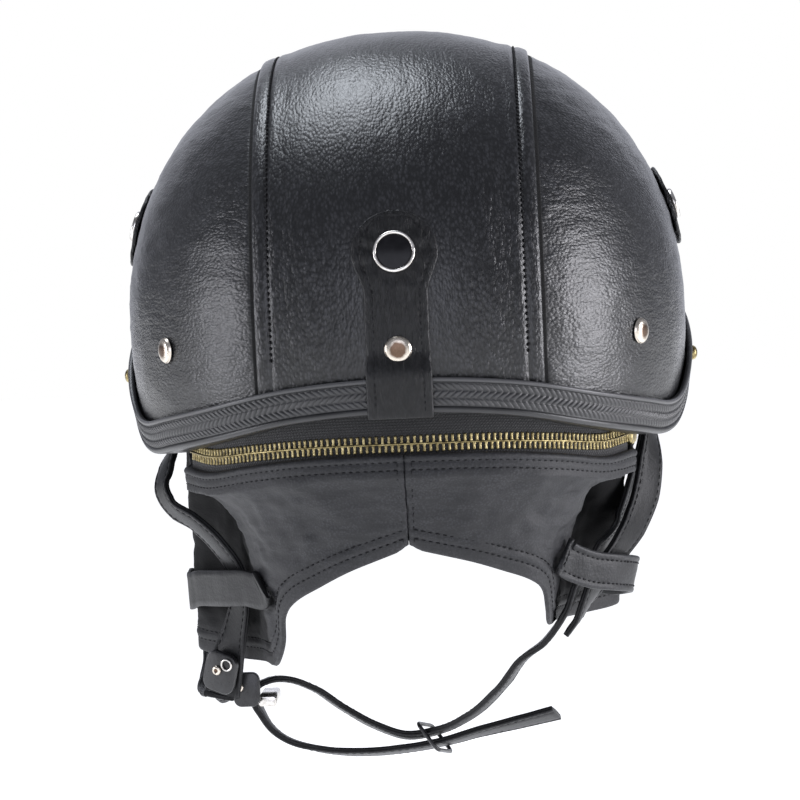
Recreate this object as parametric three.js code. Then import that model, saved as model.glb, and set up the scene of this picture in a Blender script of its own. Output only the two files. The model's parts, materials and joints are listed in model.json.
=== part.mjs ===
// Leather half helmet with a zipped neck skirt, ear flaps and a chin strap.
// Millimetres, +Z up. The brow faces -Y, the nape +Y, the wearer's left is +X.
// The origin is inside the crown, where the top of the head touches.
import * as THREE from 'three';

// Stations round the rim
const rimStations = 60;

// Outer leather shell
const helmetWidth = 242;
const helmetLength = 286;
const crownWall = 28;
const domeHeight = 125;
const domeRoundness = 2.17;
const lowerTaper = 147;
const leather = 1.8;
const leatherGap = 0.6;
const hardShell = 5;
const fit = 0.3;

// Hollow for the head
const headWidth = 176;
const headLength = 220;
const headRoom = 97;

// Rim and its moulded edge trim
const rimDrop = 51;
const trimHeight = 14;
const trimProud = 3.5;
const trimWeb = 2.6;
const edgeClearance = 1.2;
const trimLegHeight = 9;
const trimLeg = 1.5;
const trimLipHeight = 2.6;
const trimGroove = 0.6;
const liningStep = 3;
const liningLevel = 27;

// Lap seams between the three leather panels
const panelHalf = 56.5;
const seamWidth = 6.5;
const seamRise = 0.9;

// Closing tabs with their press studs
const tabRadius = 16;
const tabNeck = 23;
const tabThickness = 1.6;
const rearTabLength = 78;
const sideTabLength = 60;
const studSpacing = 37;
const rearStudRise = 28;
const sideStudRise = 45;
const sideTabTurn = 92;
const ringRadius = 8.3;
const ringWidth = 1.5;
const ringHeight = 2.2;
const studInsertHeight = 1.4;
const sideStudRadius = 7;
const smallStudRadius = 5.3;
const smallStudHeight = 1.6;

// Rivets that hold the strap legs, and the small brass studs at the rim
const strapRivetRadius = 5;
const strapRivetHeight = 1.7;
const rivetDrop = 7;
const rearRivetTurn = 53;
const frontRivetTurn = 122;
const frontRivetLift = 34;
const brassStudRadius = 3.2;
const brassStudHeight = 3;
const brassStudTurn = 93;

// Zip between the shell and the skirt
const zipDrop = 46.6;
const zipDip = 5;
const zipEndTurn = 62;
const chainHeight = 6.8;
const chainThickness = 2.6;
const tapeThickness = 1;
const upperTapeHeight = 13;
const lowerTapeHeight = 7;
const sliderLength = 9;
const sliderHeight = 9.5;
const sliderThickness = 5;

// Neck skirt with an ear flap at each end
const skirtThickness = 2.2;
const hemDrop = 4.8;
const hemDip = 5;
const hemTuck = 8;
const hemHeight = 8;
const hemGap = 0.8;
const neckDrop = 37;
const flapDrop = { left: 89, right: 76 };
const flapFold = { left: 0, right: 11 };

// Straps, hung from the widest level of the shell
const hangDepth = 193;
const strapWidth = 16;
const strapThickness = 2.6;
const strapRoom = 2.8;
const keeperHeight = 15.5;
const keeperThickness = 2;
const keeperRoom = 1.1;

// Buckle: an upper plate on the strap, a lower plate and the bar the chin strap turns round
const plateThickness = 3;
const upperPlateWidth = 15;
const upperPlateHeight = 18;
const upperPlateShare = 0.93;
const upperPlateRest = 1.6;
const lowerPlateWidth = 11.5;
const lowerPlateHeight = 15;
const buckleRivetRadius = 2.1;
const buckleRivetHeight = 1.2;
const eyeletRadius = 2.8;
const eyeletWire = 0.9;
const barWidth = 7.8;
const barHeight = 4.6;
const barLength = 25;

// Ring keeper round the doubled chin strap
const ringWire = 0.9;
const ringRoom = 2.5;
const ringCorner = 3;
const ringUpperShare = 0.412;
const ringLowerShare = 0.9;

const halfWidth = helmetWidth / 2;
const halfLength = helmetLength / 2;
const widest = crownWall - domeHeight;

const finishes = {
  shell: { color: 0x1b1b1d, roughness: 0.9, metalness: 0 },
  leather: { color: 0x2c2d30, roughness: 0.5, metalness: 0 },
  softLeather: { color: 0x3f4043, roughness: 0.6, metalness: 0 },
  strapLeather: { color: 0x34353a, roughness: 0.5, metalness: 0 },
  trim: { color: 0x2f3033, roughness: 0.55, metalness: 0 },
  tape: { color: 0x1c1c1e, roughness: 0.95, metalness: 0 },
  brass: { color: 0x9a8350, roughness: 0.35, metalness: 1 },
  nickel: { color: 0xc4bfb6, roughness: 0.2, metalness: 1 },
  gloss: { color: 0x0c0c0d, roughness: 0.12, metalness: 0 },
  plastic: { color: 0x161618, roughness: 0.4, metalness: 0 },
};

// How far the rim drops below the widest level, by the turn away from the nape
const rimRows = [
  { turn: 0, drop: 0.667 },
  { turn: 20, drop: 0.72 },
  { turn: 40, drop: 0.863 },
  { turn: 55, drop: 0.951 },
  { turn: 67, drop: 1 },
  { turn: 77, drop: 0.935 },
  { turn: 85, drop: 0.745 },
  { turn: 94, drop: 0.47 },
  { turn: 104, drop: 0.216 },
  { turn: 120, drop: 0.08 },
  { turn: 150, drop: -0.1 },
  { turn: 180, drop: -0.18 },
];

// The zip line dips towards the rear corners
const zipRows = [
  { turn: 0, dip: 0 },
  { turn: 20, dip: 0.12 },
  { turn: 36, dip: 0.55 },
  { turn: 50, dip: 1 },
  { turn: 62, dip: 0.75 },
];

// One half of the skirt, from the centre seam round to the front of the ear flap.
// turn and tucked place the hem, across, back and lobe the lower edge, all as shares.
// A low sweep lets the leather fall straight in under the hem, as it does at the fold.
const skirtRows = [
  { turn: 0, dip: 0, tucked: 0, across: 0, back: 0.79, lobe: 0, sweep: 0.8, folded: 0 },
  { turn: 17, dip: 0.1, tucked: 0, across: 0.19, back: 0.757, lobe: 0.16, sweep: 0.8, folded: 0 },
  { turn: 33, dip: 0.4, tucked: 0, across: 0.31, back: 0.703, lobe: 0.3, sweep: 0.7, folded: 0 },
  { turn: 46, dip: 0.8, tucked: 0, across: 0.396, back: 0.65, lobe: 0.42, sweep: 0.5, folded: 0 },
  { turn: 55, dip: 1, tucked: 0, across: 0.44, back: 0.598, lobe: 0.56, sweep: 0.38, folded: 0 },
  { turn: 60, dip: 1, tucked: 0, across: 0.452, back: 0.545, lobe: 0.8, sweep: 0.34, folded: 0 },
  { turn: 63, dip: 1, tucked: 0, across: 0.478, back: 0.49, lobe: 0.96, sweep: 0.32, folded: 0.25 },
  { turn: 70, dip: 0.9, tucked: 0.02, across: 0.5, back: 0.42, lobe: 1, sweep: 0.32, folded: 0.4 },
  { turn: 78, dip: 0.5, tucked: 0.5, across: 0.545, back: 0.27, lobe: 1.02, sweep: 0.33, folded: 0.6 },
  { turn: 85, dip: 0, tucked: 1, across: 0.665, back: 0.13, lobe: 1.03, sweep: 0.34, folded: 0.9 },
  { turn: 92, dip: 0, tucked: 1, across: 0.8, back: 0.01, lobe: 1, sweep: 0.36, folded: 1 },
  { turn: 100, dip: 0, tucked: 1, across: 0.79, back: -0.09, lobe: 0.94, sweep: 0.5, folded: 1 },
  { turn: 106, dip: 0, tucked: 1, across: 0.775, back: -0.16, lobe: 0.84, sweep: 0.7, folded: 1 },
];

// Straps: shares of the half width, half length and hang depth. Twist turns the flat
// of the strap from facing the nape, 0, to facing along the picture, 90 either way.
const strapRoutes = {
  rearLeft: [
    { across: 0.857, back: 0.105, drop: 0.19, twist: 84 },
    { across: 0.855, back: 0.125, drop: 0.258, twist: 80 },
    { across: 0.88, back: 0.16, drop: 0.305, twist: 68 },
    { across: 0.89, back: 0.195, drop: 0.35, twist: 63 },
    { across: 0.851, back: 0.238, drop: 0.392, twist: 63 },
    { across: 0.769, back: 0.287, drop: 0.425, twist: 63 },
    { across: 0.69, back: 0.315, drop: 0.472, twist: 63 },
    { across: 0.628, back: 0.318, drop: 0.534, twist: 63 },
    { across: 0.622, back: 0.303, drop: 0.601, twist: 60 },
    { across: 0.65, back: 0.262, drop: 0.674, twist: 48 },
    { across: 0.685, back: 0.23, drop: 0.741, twist: 25 },
    { across: 0.711, back: 0.205, drop: 0.813, twist: 15 },
  ],
  rearRight: [
    { across: -0.857, back: 0.105, drop: 0.19, twist: -84 },
    { across: -0.852, back: 0.125, drop: 0.258, twist: -74 },
    { across: -0.845, back: 0.155, drop: 0.33, twist: -50 },
    { across: -0.822, back: 0.185, drop: 0.405, twist: -42 },
    { across: -0.775, back: 0.235, drop: 0.467, twist: -44 },
    { across: -0.71, back: 0.3, drop: 0.52, twist: -54 },
    { across: -0.645, back: 0.352, drop: 0.57, twist: -56 },
    { across: -0.598, back: 0.355, drop: 0.62, twist: -72 },
    { across: -0.565, back: 0.335, drop: 0.66, twist: -82 },
    { across: -0.53, back: 0.32, drop: 0.69, twist: -84 },
  ],
  frontLeft: [
    { across: 0.853, back: -0.31, drop: 0.015, twist: 105 },
    { across: 0.853, back: -0.31, drop: 0.07, twist: 104 },
    { across: 0.85, back: -0.31, drop: 0.2, twist: 92 },
    { across: 0.84, back: -0.31, drop: 0.36, twist: 90 },
    { across: 0.83, back: -0.3, drop: 0.52, twist: 88 },
    { across: 0.82, back: -0.27, drop: 0.64, twist: 86 },
    { across: 0.812, back: -0.2, drop: 0.74, twist: 84 },
    { across: 0.795, back: -0.1, drop: 0.8, twist: 80 },
    { across: 0.77, back: 0.01, drop: 0.825, twist: 75 },
    { across: 0.745, back: 0.09, drop: 0.828, twist: 70 },
    { across: 0.72, back: 0.15, drop: 0.825, twist: 65 },
  ],
  chin: [
    { across: -0.853, back: -0.31, drop: 0.015, twist: -105 },
    { across: -0.853, back: -0.3, drop: 0.1, twist: -102 },
    { across: -0.845, back: -0.19, drop: 0.275, twist: -85 },
    { across: -0.785, back: -0.035, drop: 0.404, twist: -70 },
    { across: -0.722, back: 0.14, drop: 0.482, twist: -60 },
    { across: -0.632, back: 0.31, drop: 0.53, twist: -64 },
    { across: -0.566, back: 0.4, drop: 0.578, twist: -78 },
    { across: -0.528, back: 0.395, drop: 0.631, twist: -84 },
    { across: -0.455, back: 0.328, drop: 0.704, twist: -84 },
    { across: -0.361, back: 0.252, drop: 0.759, twist: -78 },
    { across: -0.287, back: 0.168, drop: 0.824, twist: -76 },
    { across: -0.182, back: 0.056, drop: 0.894, twist: -74 },
    { across: -0.058, back: -0.042, drop: 0.942, twist: -74 },
    { across: 0.069, back: -0.07, drop: 0.957, twist: -75 },
    { across: 0.185, back: -0.07, drop: 0.931, twist: -76 },
    { across: 0.296, back: -0.056, drop: 0.887, twist: -77 },
    { across: 0.401, back: -0.028, drop: 0.836, twist: -78 },
    { across: 0.495, back: 0.014, drop: 0.808, twist: -80 },
    { across: 0.558, back: 0.042, drop: 0.806, twist: -84 },
    { across: 0.601, back: 0.056, drop: 0.819, twist: -88 },
    { across: 0.61, back: 0.056, drop: 0.847, twist: -88 },
    { across: 0.591, back: 0.049, drop: 0.878, twist: -92 },
    { across: 0.555, back: 0.035, drop: 0.917, twist: -96 },
    { across: 0.49, back: 0.014, drop: 0.951, twist: -100 },
    { across: 0.373, back: -0.028, drop: 0.978, twist: -103 },
    { across: 0.248, back: -0.063, drop: 0.991, twist: -105 },
    { across: 0.101, back: -0.084, drop: 0.991, twist: -106 },
    { across: -0.048, back: -0.07, drop: 0.977, twist: -106 },
    { across: -0.196, back: -0.042, drop: 0.952, twist: -110 },
    { across: -0.344, back: -0.021, drop: 0.93, twist: -114 },
    { across: -0.479, back: 0, drop: 0.909, twist: -117 },
  ],
};

// Leather keepers: where they are sewn to the flap, and the span between as shares
const keeperRows = {
  left: {
    from: { rows: [4.8, 5.2], down: 0.67 },
    span: [
      { across: 0.59, back: 0.44, drop: 0.56 },
      { across: 0.665, back: 0.335, drop: 0.568 },
      { across: 0.73, back: 0.22, drop: 0.576 },
      { across: 0.8, back: 0.09, drop: 0.586 },
    ],
    to: { rows: [10.1, 10.6], down: 0.8 },
  },
  right: {
    from: { rows: [4.5, 4.9], down: 0.67 },
    span: [
      { across: -0.605, back: 0.48, drop: 0.545 },
      { across: -0.7, back: 0.405, drop: 0.56 },
      { across: -0.76, back: 0.3, drop: 0.573 },
      { across: -0.745, back: 0.2, drop: 0.585 },
      { across: -0.68, back: 0.165, drop: 0.588 },
    ],
    to: { rows: [8.6, 8.3], down: 0.78 },
  },
};

// Places of the lower buckle pieces, as shares like the straps
const bucklePlaces = {
  lowerPlate: { across: 0.627, back: 0.154, drop: 0.811 },
  lowerRivet: { across: 0.655, back: 0.154, drop: 0.805 },
  bar: { across: 0.557, back: -0.027, drop: 0.8415 },
};

const root = new THREE.Group();

function vector(x, y, z) {
  return new THREE.Vector3(x, y, z);
}

function radians(degrees) {
  return THREE.MathUtils.degToRad(degrees);
}

function mix(from, to, share) {
  return from + (to - from) * share;
}

function steps(count) {
  return Array.from({ length: count + 1 }, (_, index) => index / count);
}

// Smooth curve through one column of a table. Its ends are level.
function readTable(rows, key, column, at) {
  const last = rows.length - 1;
  const place = Math.min(Math.max(at, rows[0][key]), rows[last][key]);
  let index = 0;
  while (index < last - 1 && rows[index + 1][key] < place) {
    index += 1;
  }
  const slope = (row) => {
    if (row === 0 || row === last) {
      return 0;
    }
    const rise = rows[row + 1][column] - rows[row - 1][column];
    return rise / (rows[row + 1][key] - rows[row - 1][key]);
  };
  const span = rows[index + 1][key] - rows[index][key];
  const t = (place - rows[index][key]) / span;
  const from = rows[index][column];
  const to = rows[index + 1][column];
  const start = slope(index) * span;
  const end = slope(index + 1) * span;
  const cubic = 2 * (from - to) + start + end;
  const square = 3 * (to - from) - 2 * start - end;
  return ((cubic * t + square) * t + start) * t + from;
}

// Builds one closed mesh from triangles, joining points that coincide
function addSolid(name, finish, points, triangles, place) {
  const known = new Map();
  const joined = [];
  const index = points.map((point) => {
    const key = [point.x, point.y, point.z].map((value) => Math.round(value * 1e4)).join();
    if (!known.has(key)) {
      known.set(key, joined.length);
      joined.push(point);
    }
    return known.get(key);
  });
  const faces = triangles
    .map((face) => face.map((corner) => index[corner]))
    .filter(([a, b, c]) => a !== b && b !== c && c !== a);
  const volume = faces.reduce((sum, [a, b, c]) => {
    return sum + joined[a].dot(joined[b].clone().cross(joined[c]));
  }, 0);
  const turned = volume < 0 ? faces.map(([a, b, c]) => [a, c, b]) : faces;
  const geometry = new THREE.BufferGeometry().setFromPoints(joined);
  geometry.setIndex(turned.flat());
  geometry.computeVertexNormals();
  const mesh = new THREE.Mesh(geometry, new THREE.MeshStandardMaterial(finishes[finish]));
  mesh.name = name;
  if (place) {
    mesh.position.copy(place.position);
    mesh.quaternion.copy(place.quaternion);
  }
  root.add(mesh);
  return mesh;
}

// A body between two grids of points with the same rows and columns
function addSlab(name, finish, outer, inner) {
  const rows = outer.length;
  const columns = outer[0].length;
  const points = [...outer.flat(), ...inner.flat()];
  const far = rows * columns;
  const at = (row, column, layer) => layer * far + row * columns + column;
  const triangles = [];
  const quad = (a, b, c, d) => triangles.push([a, b, c], [a, c, d]);
  for (let i = 0; i < rows - 1; i += 1) {
    for (let j = 0; j < columns - 1; j += 1) {
      quad(at(i, j, 0), at(i, j + 1, 0), at(i + 1, j + 1, 0), at(i + 1, j, 0));
      quad(at(i, j, 1), at(i + 1, j, 1), at(i + 1, j + 1, 1), at(i, j + 1, 1));
    }
    quad(at(i, 0, 0), at(i + 1, 0, 0), at(i + 1, 0, 1), at(i, 0, 1));
    quad(at(i, columns - 1, 0), at(i, columns - 1, 1), at(i + 1, columns - 1, 1), at(i + 1, columns - 1, 0));
  }
  for (let j = 0; j < columns - 1; j += 1) {
    quad(at(0, j, 0), at(0, j, 1), at(0, j + 1, 1), at(0, j + 1, 0));
    quad(at(rows - 1, j, 0), at(rows - 1, j + 1, 0), at(rows - 1, j + 1, 1), at(rows - 1, j, 1));
  }
  return addSolid(name, finish, points, triangles);
}

// A closed section carried along a path. A loop joins its last section to the first.
function addLoft(name, finish, sections, loop) {
  const corners = sections[0].length;
  const count = sections.length;
  const triangles = [];
  const joins = loop ? count : count - 1;
  for (let i = 0; i < joins; i += 1) {
    const next = (i + 1) % count;
    for (let j = 0; j < corners; j += 1) {
      const side = (j + 1) % corners;
      triangles.push([i * corners + j, i * corners + side, next * corners + side]);
      triangles.push([i * corners + j, next * corners + side, next * corners + j]);
    }
  }
  if (!loop) {
    for (let j = 1; j < corners - 1; j += 1) {
      const end = (count - 1) * corners;
      triangles.push([0, j + 1, j], [end, end + j, end + j + 1]);
    }
  }
  return addSolid(name, finish, sections.flat(), triangles);
}

// Width of the shell at a height, as a share of its widest level
function shellShare(z) {
  const rise = z - widest;
  if (rise < 0) {
    return Math.sqrt(1 - (rise / lowerTaper) ** 2);
  }
  const share = Math.min(rise / domeHeight, 1);
  return (1 - share ** domeRoundness) ** (1 / domeRoundness);
}

function shellNormal(turn, z) {
  const rise = z - widest;
  const share = shellShare(z);
  const level = share ** (domeRoundness - 1);
  const upright = rise < 0
    ? rise / lowerTaper ** 2
    : (rise / domeHeight) ** (domeRoundness - 1) / domeHeight;
  const wide = rise < 0 ? share : level;
  const x = wide * Math.sin(turn) / halfWidth;
  const y = wide * Math.cos(turn) / halfLength;
  return vector(x, y, upright).normalize();
}

// A point of the leather's outer face, or moved off it along its normal
function shellPoint(turn, z, out = 0) {
  const share = shellShare(z);
  const point = vector(halfWidth * share * Math.sin(turn), halfLength * share * Math.cos(turn), z);
  return point.addScaledVector(shellNormal(turn, z), out);
}

// The same, moved level with the ground
function besideShell(turn, z, out) {
  const away = vector(Math.sin(turn) / halfWidth, Math.cos(turn) / halfLength, 0).normalize();
  return shellPoint(turn, z).addScaledVector(away, out);
}

function leatherAt(x, z, out) {
  const turn = Math.asin(x / (halfWidth * shellShare(z)));
  return shellPoint(turn, z, out);
}

function rimLevel(turn) {
  const degrees = Math.abs(THREE.MathUtils.radToDeg(turn));
  return widest - rimDrop * readTable(rimRows, 'turn', 'drop', Math.min(degrees, 360 - degrees));
}

const slopeStep = radians(1);

function rimPoint(turn) {
  return shellPoint(turn, rimLevel(turn));
}

function rimTangent(turn) {
  return rimPoint(turn + slopeStep).sub(rimPoint(turn - slopeStep)).normalize();
}

// A point of the edge trim: up from the rim and out from the leather
function trimPoint(turn, up, out) {
  const away = vector(Math.sin(turn) / halfWidth, Math.cos(turn) / halfLength, 0).normalize();
  const rise = rimTangent(turn).cross(away).normalize();
  if (rise.z < 0) {
    rise.negate();
  }
  const point = rimPoint(turn).addScaledVector(rise, up);
  const around = Math.atan2(point.x / halfWidth, point.y / halfLength);
  return besideShell(around, point.z, out);
}

// Level of the shell's own edge, which stands on the web of the trim
function edgeLevel(turn) {
  const level = Math.hypot(rimTangent(turn).x, rimTangent(turn).y);
  return rimLevel(turn) + (trimWeb + edgeClearance) / level;
}

function liningBottom(turn) {
  return Math.max(widest - liningLevel, rimLevel(turn) + trimLegHeight + liningStep);
}

// Angle on the dome's profile: 90 at the crown, 0 at the widest level
function profileLevel(angle) {
  const depth = angle < 0 ? lowerTaper : domeHeight;
  return widest + depth * Math.sin(angle);
}

function profileAngle(z) {
  const depth = z < widest ? lowerTaper : domeHeight;
  return Math.asin((z - widest) / depth);
}

function addShell() {
  const turns = steps(rimStations).slice(0, -1);
  const outerRows = steps(11);
  const innerRows = steps(5);
  const wallOut = -leather - leatherGap;
  const wallIn = wallOut - hardShell;
  const sections = turns.map((share) => {
    const turn = share * 2 * Math.PI;
    const low = profileAngle(edgeLevel(turn));
    const outer = outerRows.map((down) => {
      const z = profileLevel(mix(Math.PI / 2, low, down));
      return shellPoint(turn, z, wallOut);
    });
    outer[0] = vector(0, 0, crownWall + wallOut);
    const step = liningBottom(turn);
    const recess = [besideShell(turn, edgeLevel(turn), wallIn), besideShell(turn, step, wallIn)];
    const wall = vector(headWidth / 2 * Math.sin(turn), headLength / 2 * Math.cos(turn), step);
    const hollow = innerRows.map((up) => {
      const angle = up * Math.PI / 2;
      const height = Math.sin(angle);
      const around = (1 - height ** domeRoundness) ** (1 / domeRoundness);
      const level = widest + headRoom * height;
      return vector(wall.x * around, wall.y * around, level);
    });
    hollow[innerRows.length - 1] = vector(0, 0, widest + headRoom);
    return [...outer, ...recess, wall, ...hollow];
  });
  const rows = sections[0].length;
  const triangles = [];
  sections.forEach((_, i) => {
    const next = (i + 1) % sections.length;
    for (let j = 0; j < rows - 1; j += 1) {
      triangles.push([i * rows + j, i * rows + j + 1, next * rows + j + 1]);
      triangles.push([i * rows + j, next * rows + j + 1, next * rows + j]);
    }
  });
  addSolid('padded_shell', 'shell', sections.flat(), triangles);
}

// Level where the leather of a panel ends, for a line that lies x from the middle
function panelEnd(x, front) {
  let turn = Math.asin(x / halfWidth);
  for (let pass = 0; pass < 12; pass += 1) {
    const z = edgeLevel(front ? Math.PI - turn : turn);
    turn = Math.asin(x / (halfWidth * shellShare(z)));
  }
  return front ? Math.PI - turn : turn;
}

// The centre panel runs over the crown. Its two long edges are folded and lie proud.
function addCentrePanel() {
  const across = [-1, -0.885, -0.87, -0.6, -0.3, 0, 0.3, 0.6, 0.87, 0.885, 1];
  const along = steps(26);
  const seamStart = 1 - seamWidth / panelHalf;
  const line = (x, share, out) => {
    const ridge = Math.sqrt(1 - (Math.abs(x) / halfWidth) ** domeRoundness);
    const back = profileAngle(edgeLevel(panelEnd(Math.abs(x), false)));
    const front = Math.PI - profileAngle(edgeLevel(panelEnd(Math.abs(x), true)));
    const angle = mix(back, front, share);
    const folded = angle > Math.PI / 2 ? Math.PI - angle : angle;
    const top = widest + domeHeight * ridge ** (2 / domeRoundness);
    const z = folded < 0 ? profileLevel(folded) : mix(widest, top, Math.sin(folded));
    const limit = halfWidth * shellShare(Math.min(z, top));
    const side = Math.asin(Math.min(1, Math.abs(x) / limit)) * Math.sign(x);
    return shellPoint(angle > Math.PI / 2 ? Math.PI - side : side, z, out);
  };
  const lift = (s, share) => {
    const flat = line(s * panelHalf, share, 0);
    const turn = Math.atan2(flat.x / halfWidth, flat.y / halfLength);
    const free = flat.z > rimLevel(turn) + trimHeight + 2 * seamRise;
    return Math.abs(s) > seamStart && free ? seamRise : 0;
  };
  const outer = along.map((share) => across.map((s) => line(s * panelHalf, share, lift(s, share))));
  const inner = along.map((share) => across.map((s) => line(s * panelHalf, share, -leather)));
  addSlab('centre_panel', 'leather', outer, inner);
}

// A side panel narrows to nothing where its two seam lines meet over the ear
function addSidePanel(side) {
  const name = side > 0 ? 'side_panel_left' : 'side_panel_right';
  const start = panelHalf + fit;
  const top = widest + domeHeight * (1 - (start / halfWidth) ** domeRoundness) ** (1 / domeRoundness);
  const point = (along, up, out) => {
    let turn = Math.PI / 2;
    let z = widest;
    for (let pass = 0; pass < 20; pass += 1) {
      const low = profileAngle(edgeLevel(turn));
      z = profileLevel(mix(low, profileAngle(top), up));
      const seam = Math.asin(Math.min(1, start / (halfWidth * shellShare(z))));
      turn = mix(seam, Math.PI - seam, along);
    }
    return shellPoint(side * turn, z, out);
  };
  const rows = steps(16).map((share) => 1 - (1 - share) ** 1.4);
  const columns = steps(16);
  const grid = (out) => rows.map((up) => columns.map((along) => point(along, up, out)));
  addSlab(name, 'leather', grid(0), grid(-leather));
}

// The trim grips the shell's edge: a proud outer band, a web below and a leg inside
function addTrim() {
  const inside = -leather - leatherGap - hardShell - fit;
  const rest = leatherGap + fit;
  const groove = trimProud - trimGroove;
  const lip = trimHeight - trimLipHeight;
  const section = [
    [inside - trimLeg, trimLegHeight],
    [inside - trimLeg, 0.8],
    [inside - trimLeg / 2, 0],
    [trimProud - 1.6, 0],
    [trimProud, 1.2],
    [trimProud, trimLipHeight],
    [groove, trimLipHeight + 0.6],
    [groove, lip],
    [trimProud, lip + 0.8],
    [trimProud - 0.6, trimHeight],
    [rest, trimHeight],
    [rest, trimWeb],
    [inside, trimWeb],
    [inside, trimLegHeight],
  ];
  const sections = steps(rimStations).slice(0, -1).map((share) => {
    return section.map(([out, up]) => trimPoint(share * 2 * Math.PI, up, out));
  });
  addLoft('edge_trim', 'trim', sections, true);
}

// Half the width of a tab, some way down from its round end
function tabHalf(along) {
  if (along < tabRadius) {
    return Math.sqrt(tabRadius ** 2 - (tabRadius - along) ** 2);
  }
  const share = Math.min((along - tabRadius) / tabRadius, 1);
  return mix(tabRadius, tabNeck / 2, THREE.MathUtils.smoothstep(share, 0, 1));
}

// A strip of leather with one round end, laid on the shell by a placing function
function addTab(name, length, placeAt, lift) {
  const round = steps(5).map((share) => tabRadius * (1 - Math.cos(share * Math.PI / 2)));
  const straight = steps(9).slice(1).map((share) => mix(tabRadius, length, share));
  const across = steps(4).map((share) => mix(-1, 1, share));
  const grid = (out) => [...round, ...straight].map((along) => {
    return across.map((s) => placeAt(along, s * tabHalf(along), out + lift(along)));
  });
  addSlab(name, 'leather', grid(fit + tabThickness), grid(fit));
}

const rearTabTop = widest + rearStudRise + tabRadius;

function rearTabPlace(along, across, out) {
  return leatherAt(across, rearTabTop - along, out);
}

// Where the rear tab climbs on to the trim
function rearTabLift(along) {
  const trimTop = rimLevel(0) + trimHeight;
  const above = rearTabTop - along - trimTop;
  return (trimProud + fit) * (1 - THREE.MathUtils.smoothstep(above, 0.5, 6));
}

function sideTabPlace(side) {
  const level = widest + sideStudRise;
  return (along, across, out) => {
    const forward = (along - tabRadius) / (halfLength * shellShare(level));
    return shellPoint(side * (radians(sideTabTurn) + forward), level + across, out);
  };
}

// A small body turned about the outward direction at a point of the shell
function addTurned(name, finish, profile, point, away, sides = 12) {
  const rows = profile.map(([radius, height]) => new THREE.Vector2(radius, height));
  const lathe = new THREE.LatheGeometry(rows, sides);
  const position = lathe.getAttribute('position');
  const points = Array.from({ length: position.count }, (_, index) => {
    return new THREE.Vector3().fromBufferAttribute(position, index);
  });
  const corners = Array.from(lathe.index.array);
  const triangles = Array.from({ length: corners.length / 3 }, (_, face) => {
    return corners.slice(face * 3, face * 3 + 3);
  });
  const quaternion = new THREE.Quaternion().setFromUnitVectors(vector(0, 1, 0), away);
  return addSolid(name, finish, points, triangles, { position: point, quaternion });
}

function domeProfile(radius, height) {
  return [
    [0, 0],
    [radius, 0],
    [radius, height * 0.3],
    [radius * 0.8, height * 0.75],
    [radius * 0.45, height],
    [0, height],
  ];
}

function ringProfile(radius, width, height) {
  return [
    [radius - width, 0],
    [radius, 0],
    [radius, height * 0.5],
    [radius - width * 0.4, height],
    [radius - width, height * 0.85],
    [radius - width, 0],
  ];
}

function discProfile(radius, height) {
  return [[0, 0], [radius, 0], [radius, height], [0, height]];
}

// A press stud is a bright ring round a flat gloss insert
function addStud(name, radius, point, away) {
  addTurned(`${name}_ring`, 'nickel', ringProfile(radius, ringWidth, ringHeight), point, away);
  const insert = discProfile(radius - ringWidth - fit, studInsertHeight);
  addTurned(`${name}_insert`, 'gloss', insert, point, away);
}

const onTab = fit + tabThickness + 2 * fit;

function addRearTab() {
  addTab('rear_tab', rearTabLength, rearTabPlace, rearTabLift);
  const stud = rearTabPlace(tabRadius, 0, onTab);
  addStud('rear_stud', ringRadius, stud, shellNormal(0, stud.z));
  const small = rearTabPlace(tabRadius + studSpacing, 0, onTab);
  const away = shellNormal(0, small.z);
  addTurned('rear_small_stud', 'nickel', domeProfile(smallStudRadius, smallStudHeight), small, away);
}

function addSideTab(side) {
  const name = side > 0 ? 'left' : 'right';
  const place = sideTabPlace(side);
  addTab(`side_tab_${name}`, sideTabLength, place, () => 0);
  const normalAt = (along) => {
    const centre = place(along, 0, 0);
    return place(along, 0, 1).sub(centre).normalize();
  };
  addStud(`side_stud_${name}`, sideStudRadius, place(tabRadius, 0, onTab), normalAt(tabRadius));
  const far = tabRadius + studSpacing;
  const profile = domeProfile(smallStudRadius, smallStudHeight);
  addTurned(`side_small_stud_${name}`, 'nickel', profile, place(far, 0, onTab), normalAt(far));
}

function addRivets(side) {
  const name = side > 0 ? 'left' : 'right';
  const profile = domeProfile(strapRivetRadius, strapRivetHeight);
  const level = widest - rivetDrop;
  const places = {
    rear: { turn: rearRivetTurn, level },
    front: { turn: frontRivetTurn, level: level + frontRivetLift },
  };
  Object.entries(places).forEach(([end, place]) => {
    const turn = side * radians(place.turn);
    const point = shellPoint(turn, place.level, fit);
    addTurned(`${end}_rivet_${name}`, 'nickel', profile, point, shellNormal(turn, place.level));
  });
  const turn = side * radians(brassStudTurn);
  const away = vector(Math.sin(turn) / halfWidth, Math.cos(turn) / halfLength, 0).normalize();
  const stud = trimPoint(turn, trimHeight / 2, trimProud - trimGroove + fit);
  addTurned(`brass_stud_${name}`, 'brass', domeProfile(brassStudRadius, brassStudHeight), stud, away);
}

const legInset = leather + leatherGap + hardShell + fit + trimLeg;
const tapeInset = legInset + fit + (chainThickness - tapeThickness) / 2;

function zipLevel(turn) {
  const degrees = Math.abs(THREE.MathUtils.radToDeg(turn));
  return widest - zipDrop - zipDip * readTable(zipRows, 'turn', 'dip', degrees);
}

// Plan of the zip, which follows the inside of the trim's leg
function zipPoint(turn, up, deep) {
  const point = besideShell(turn, rimLevel(turn), -tapeInset - deep);
  point.z = zipLevel(turn) + up;
  return point;
}

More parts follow.
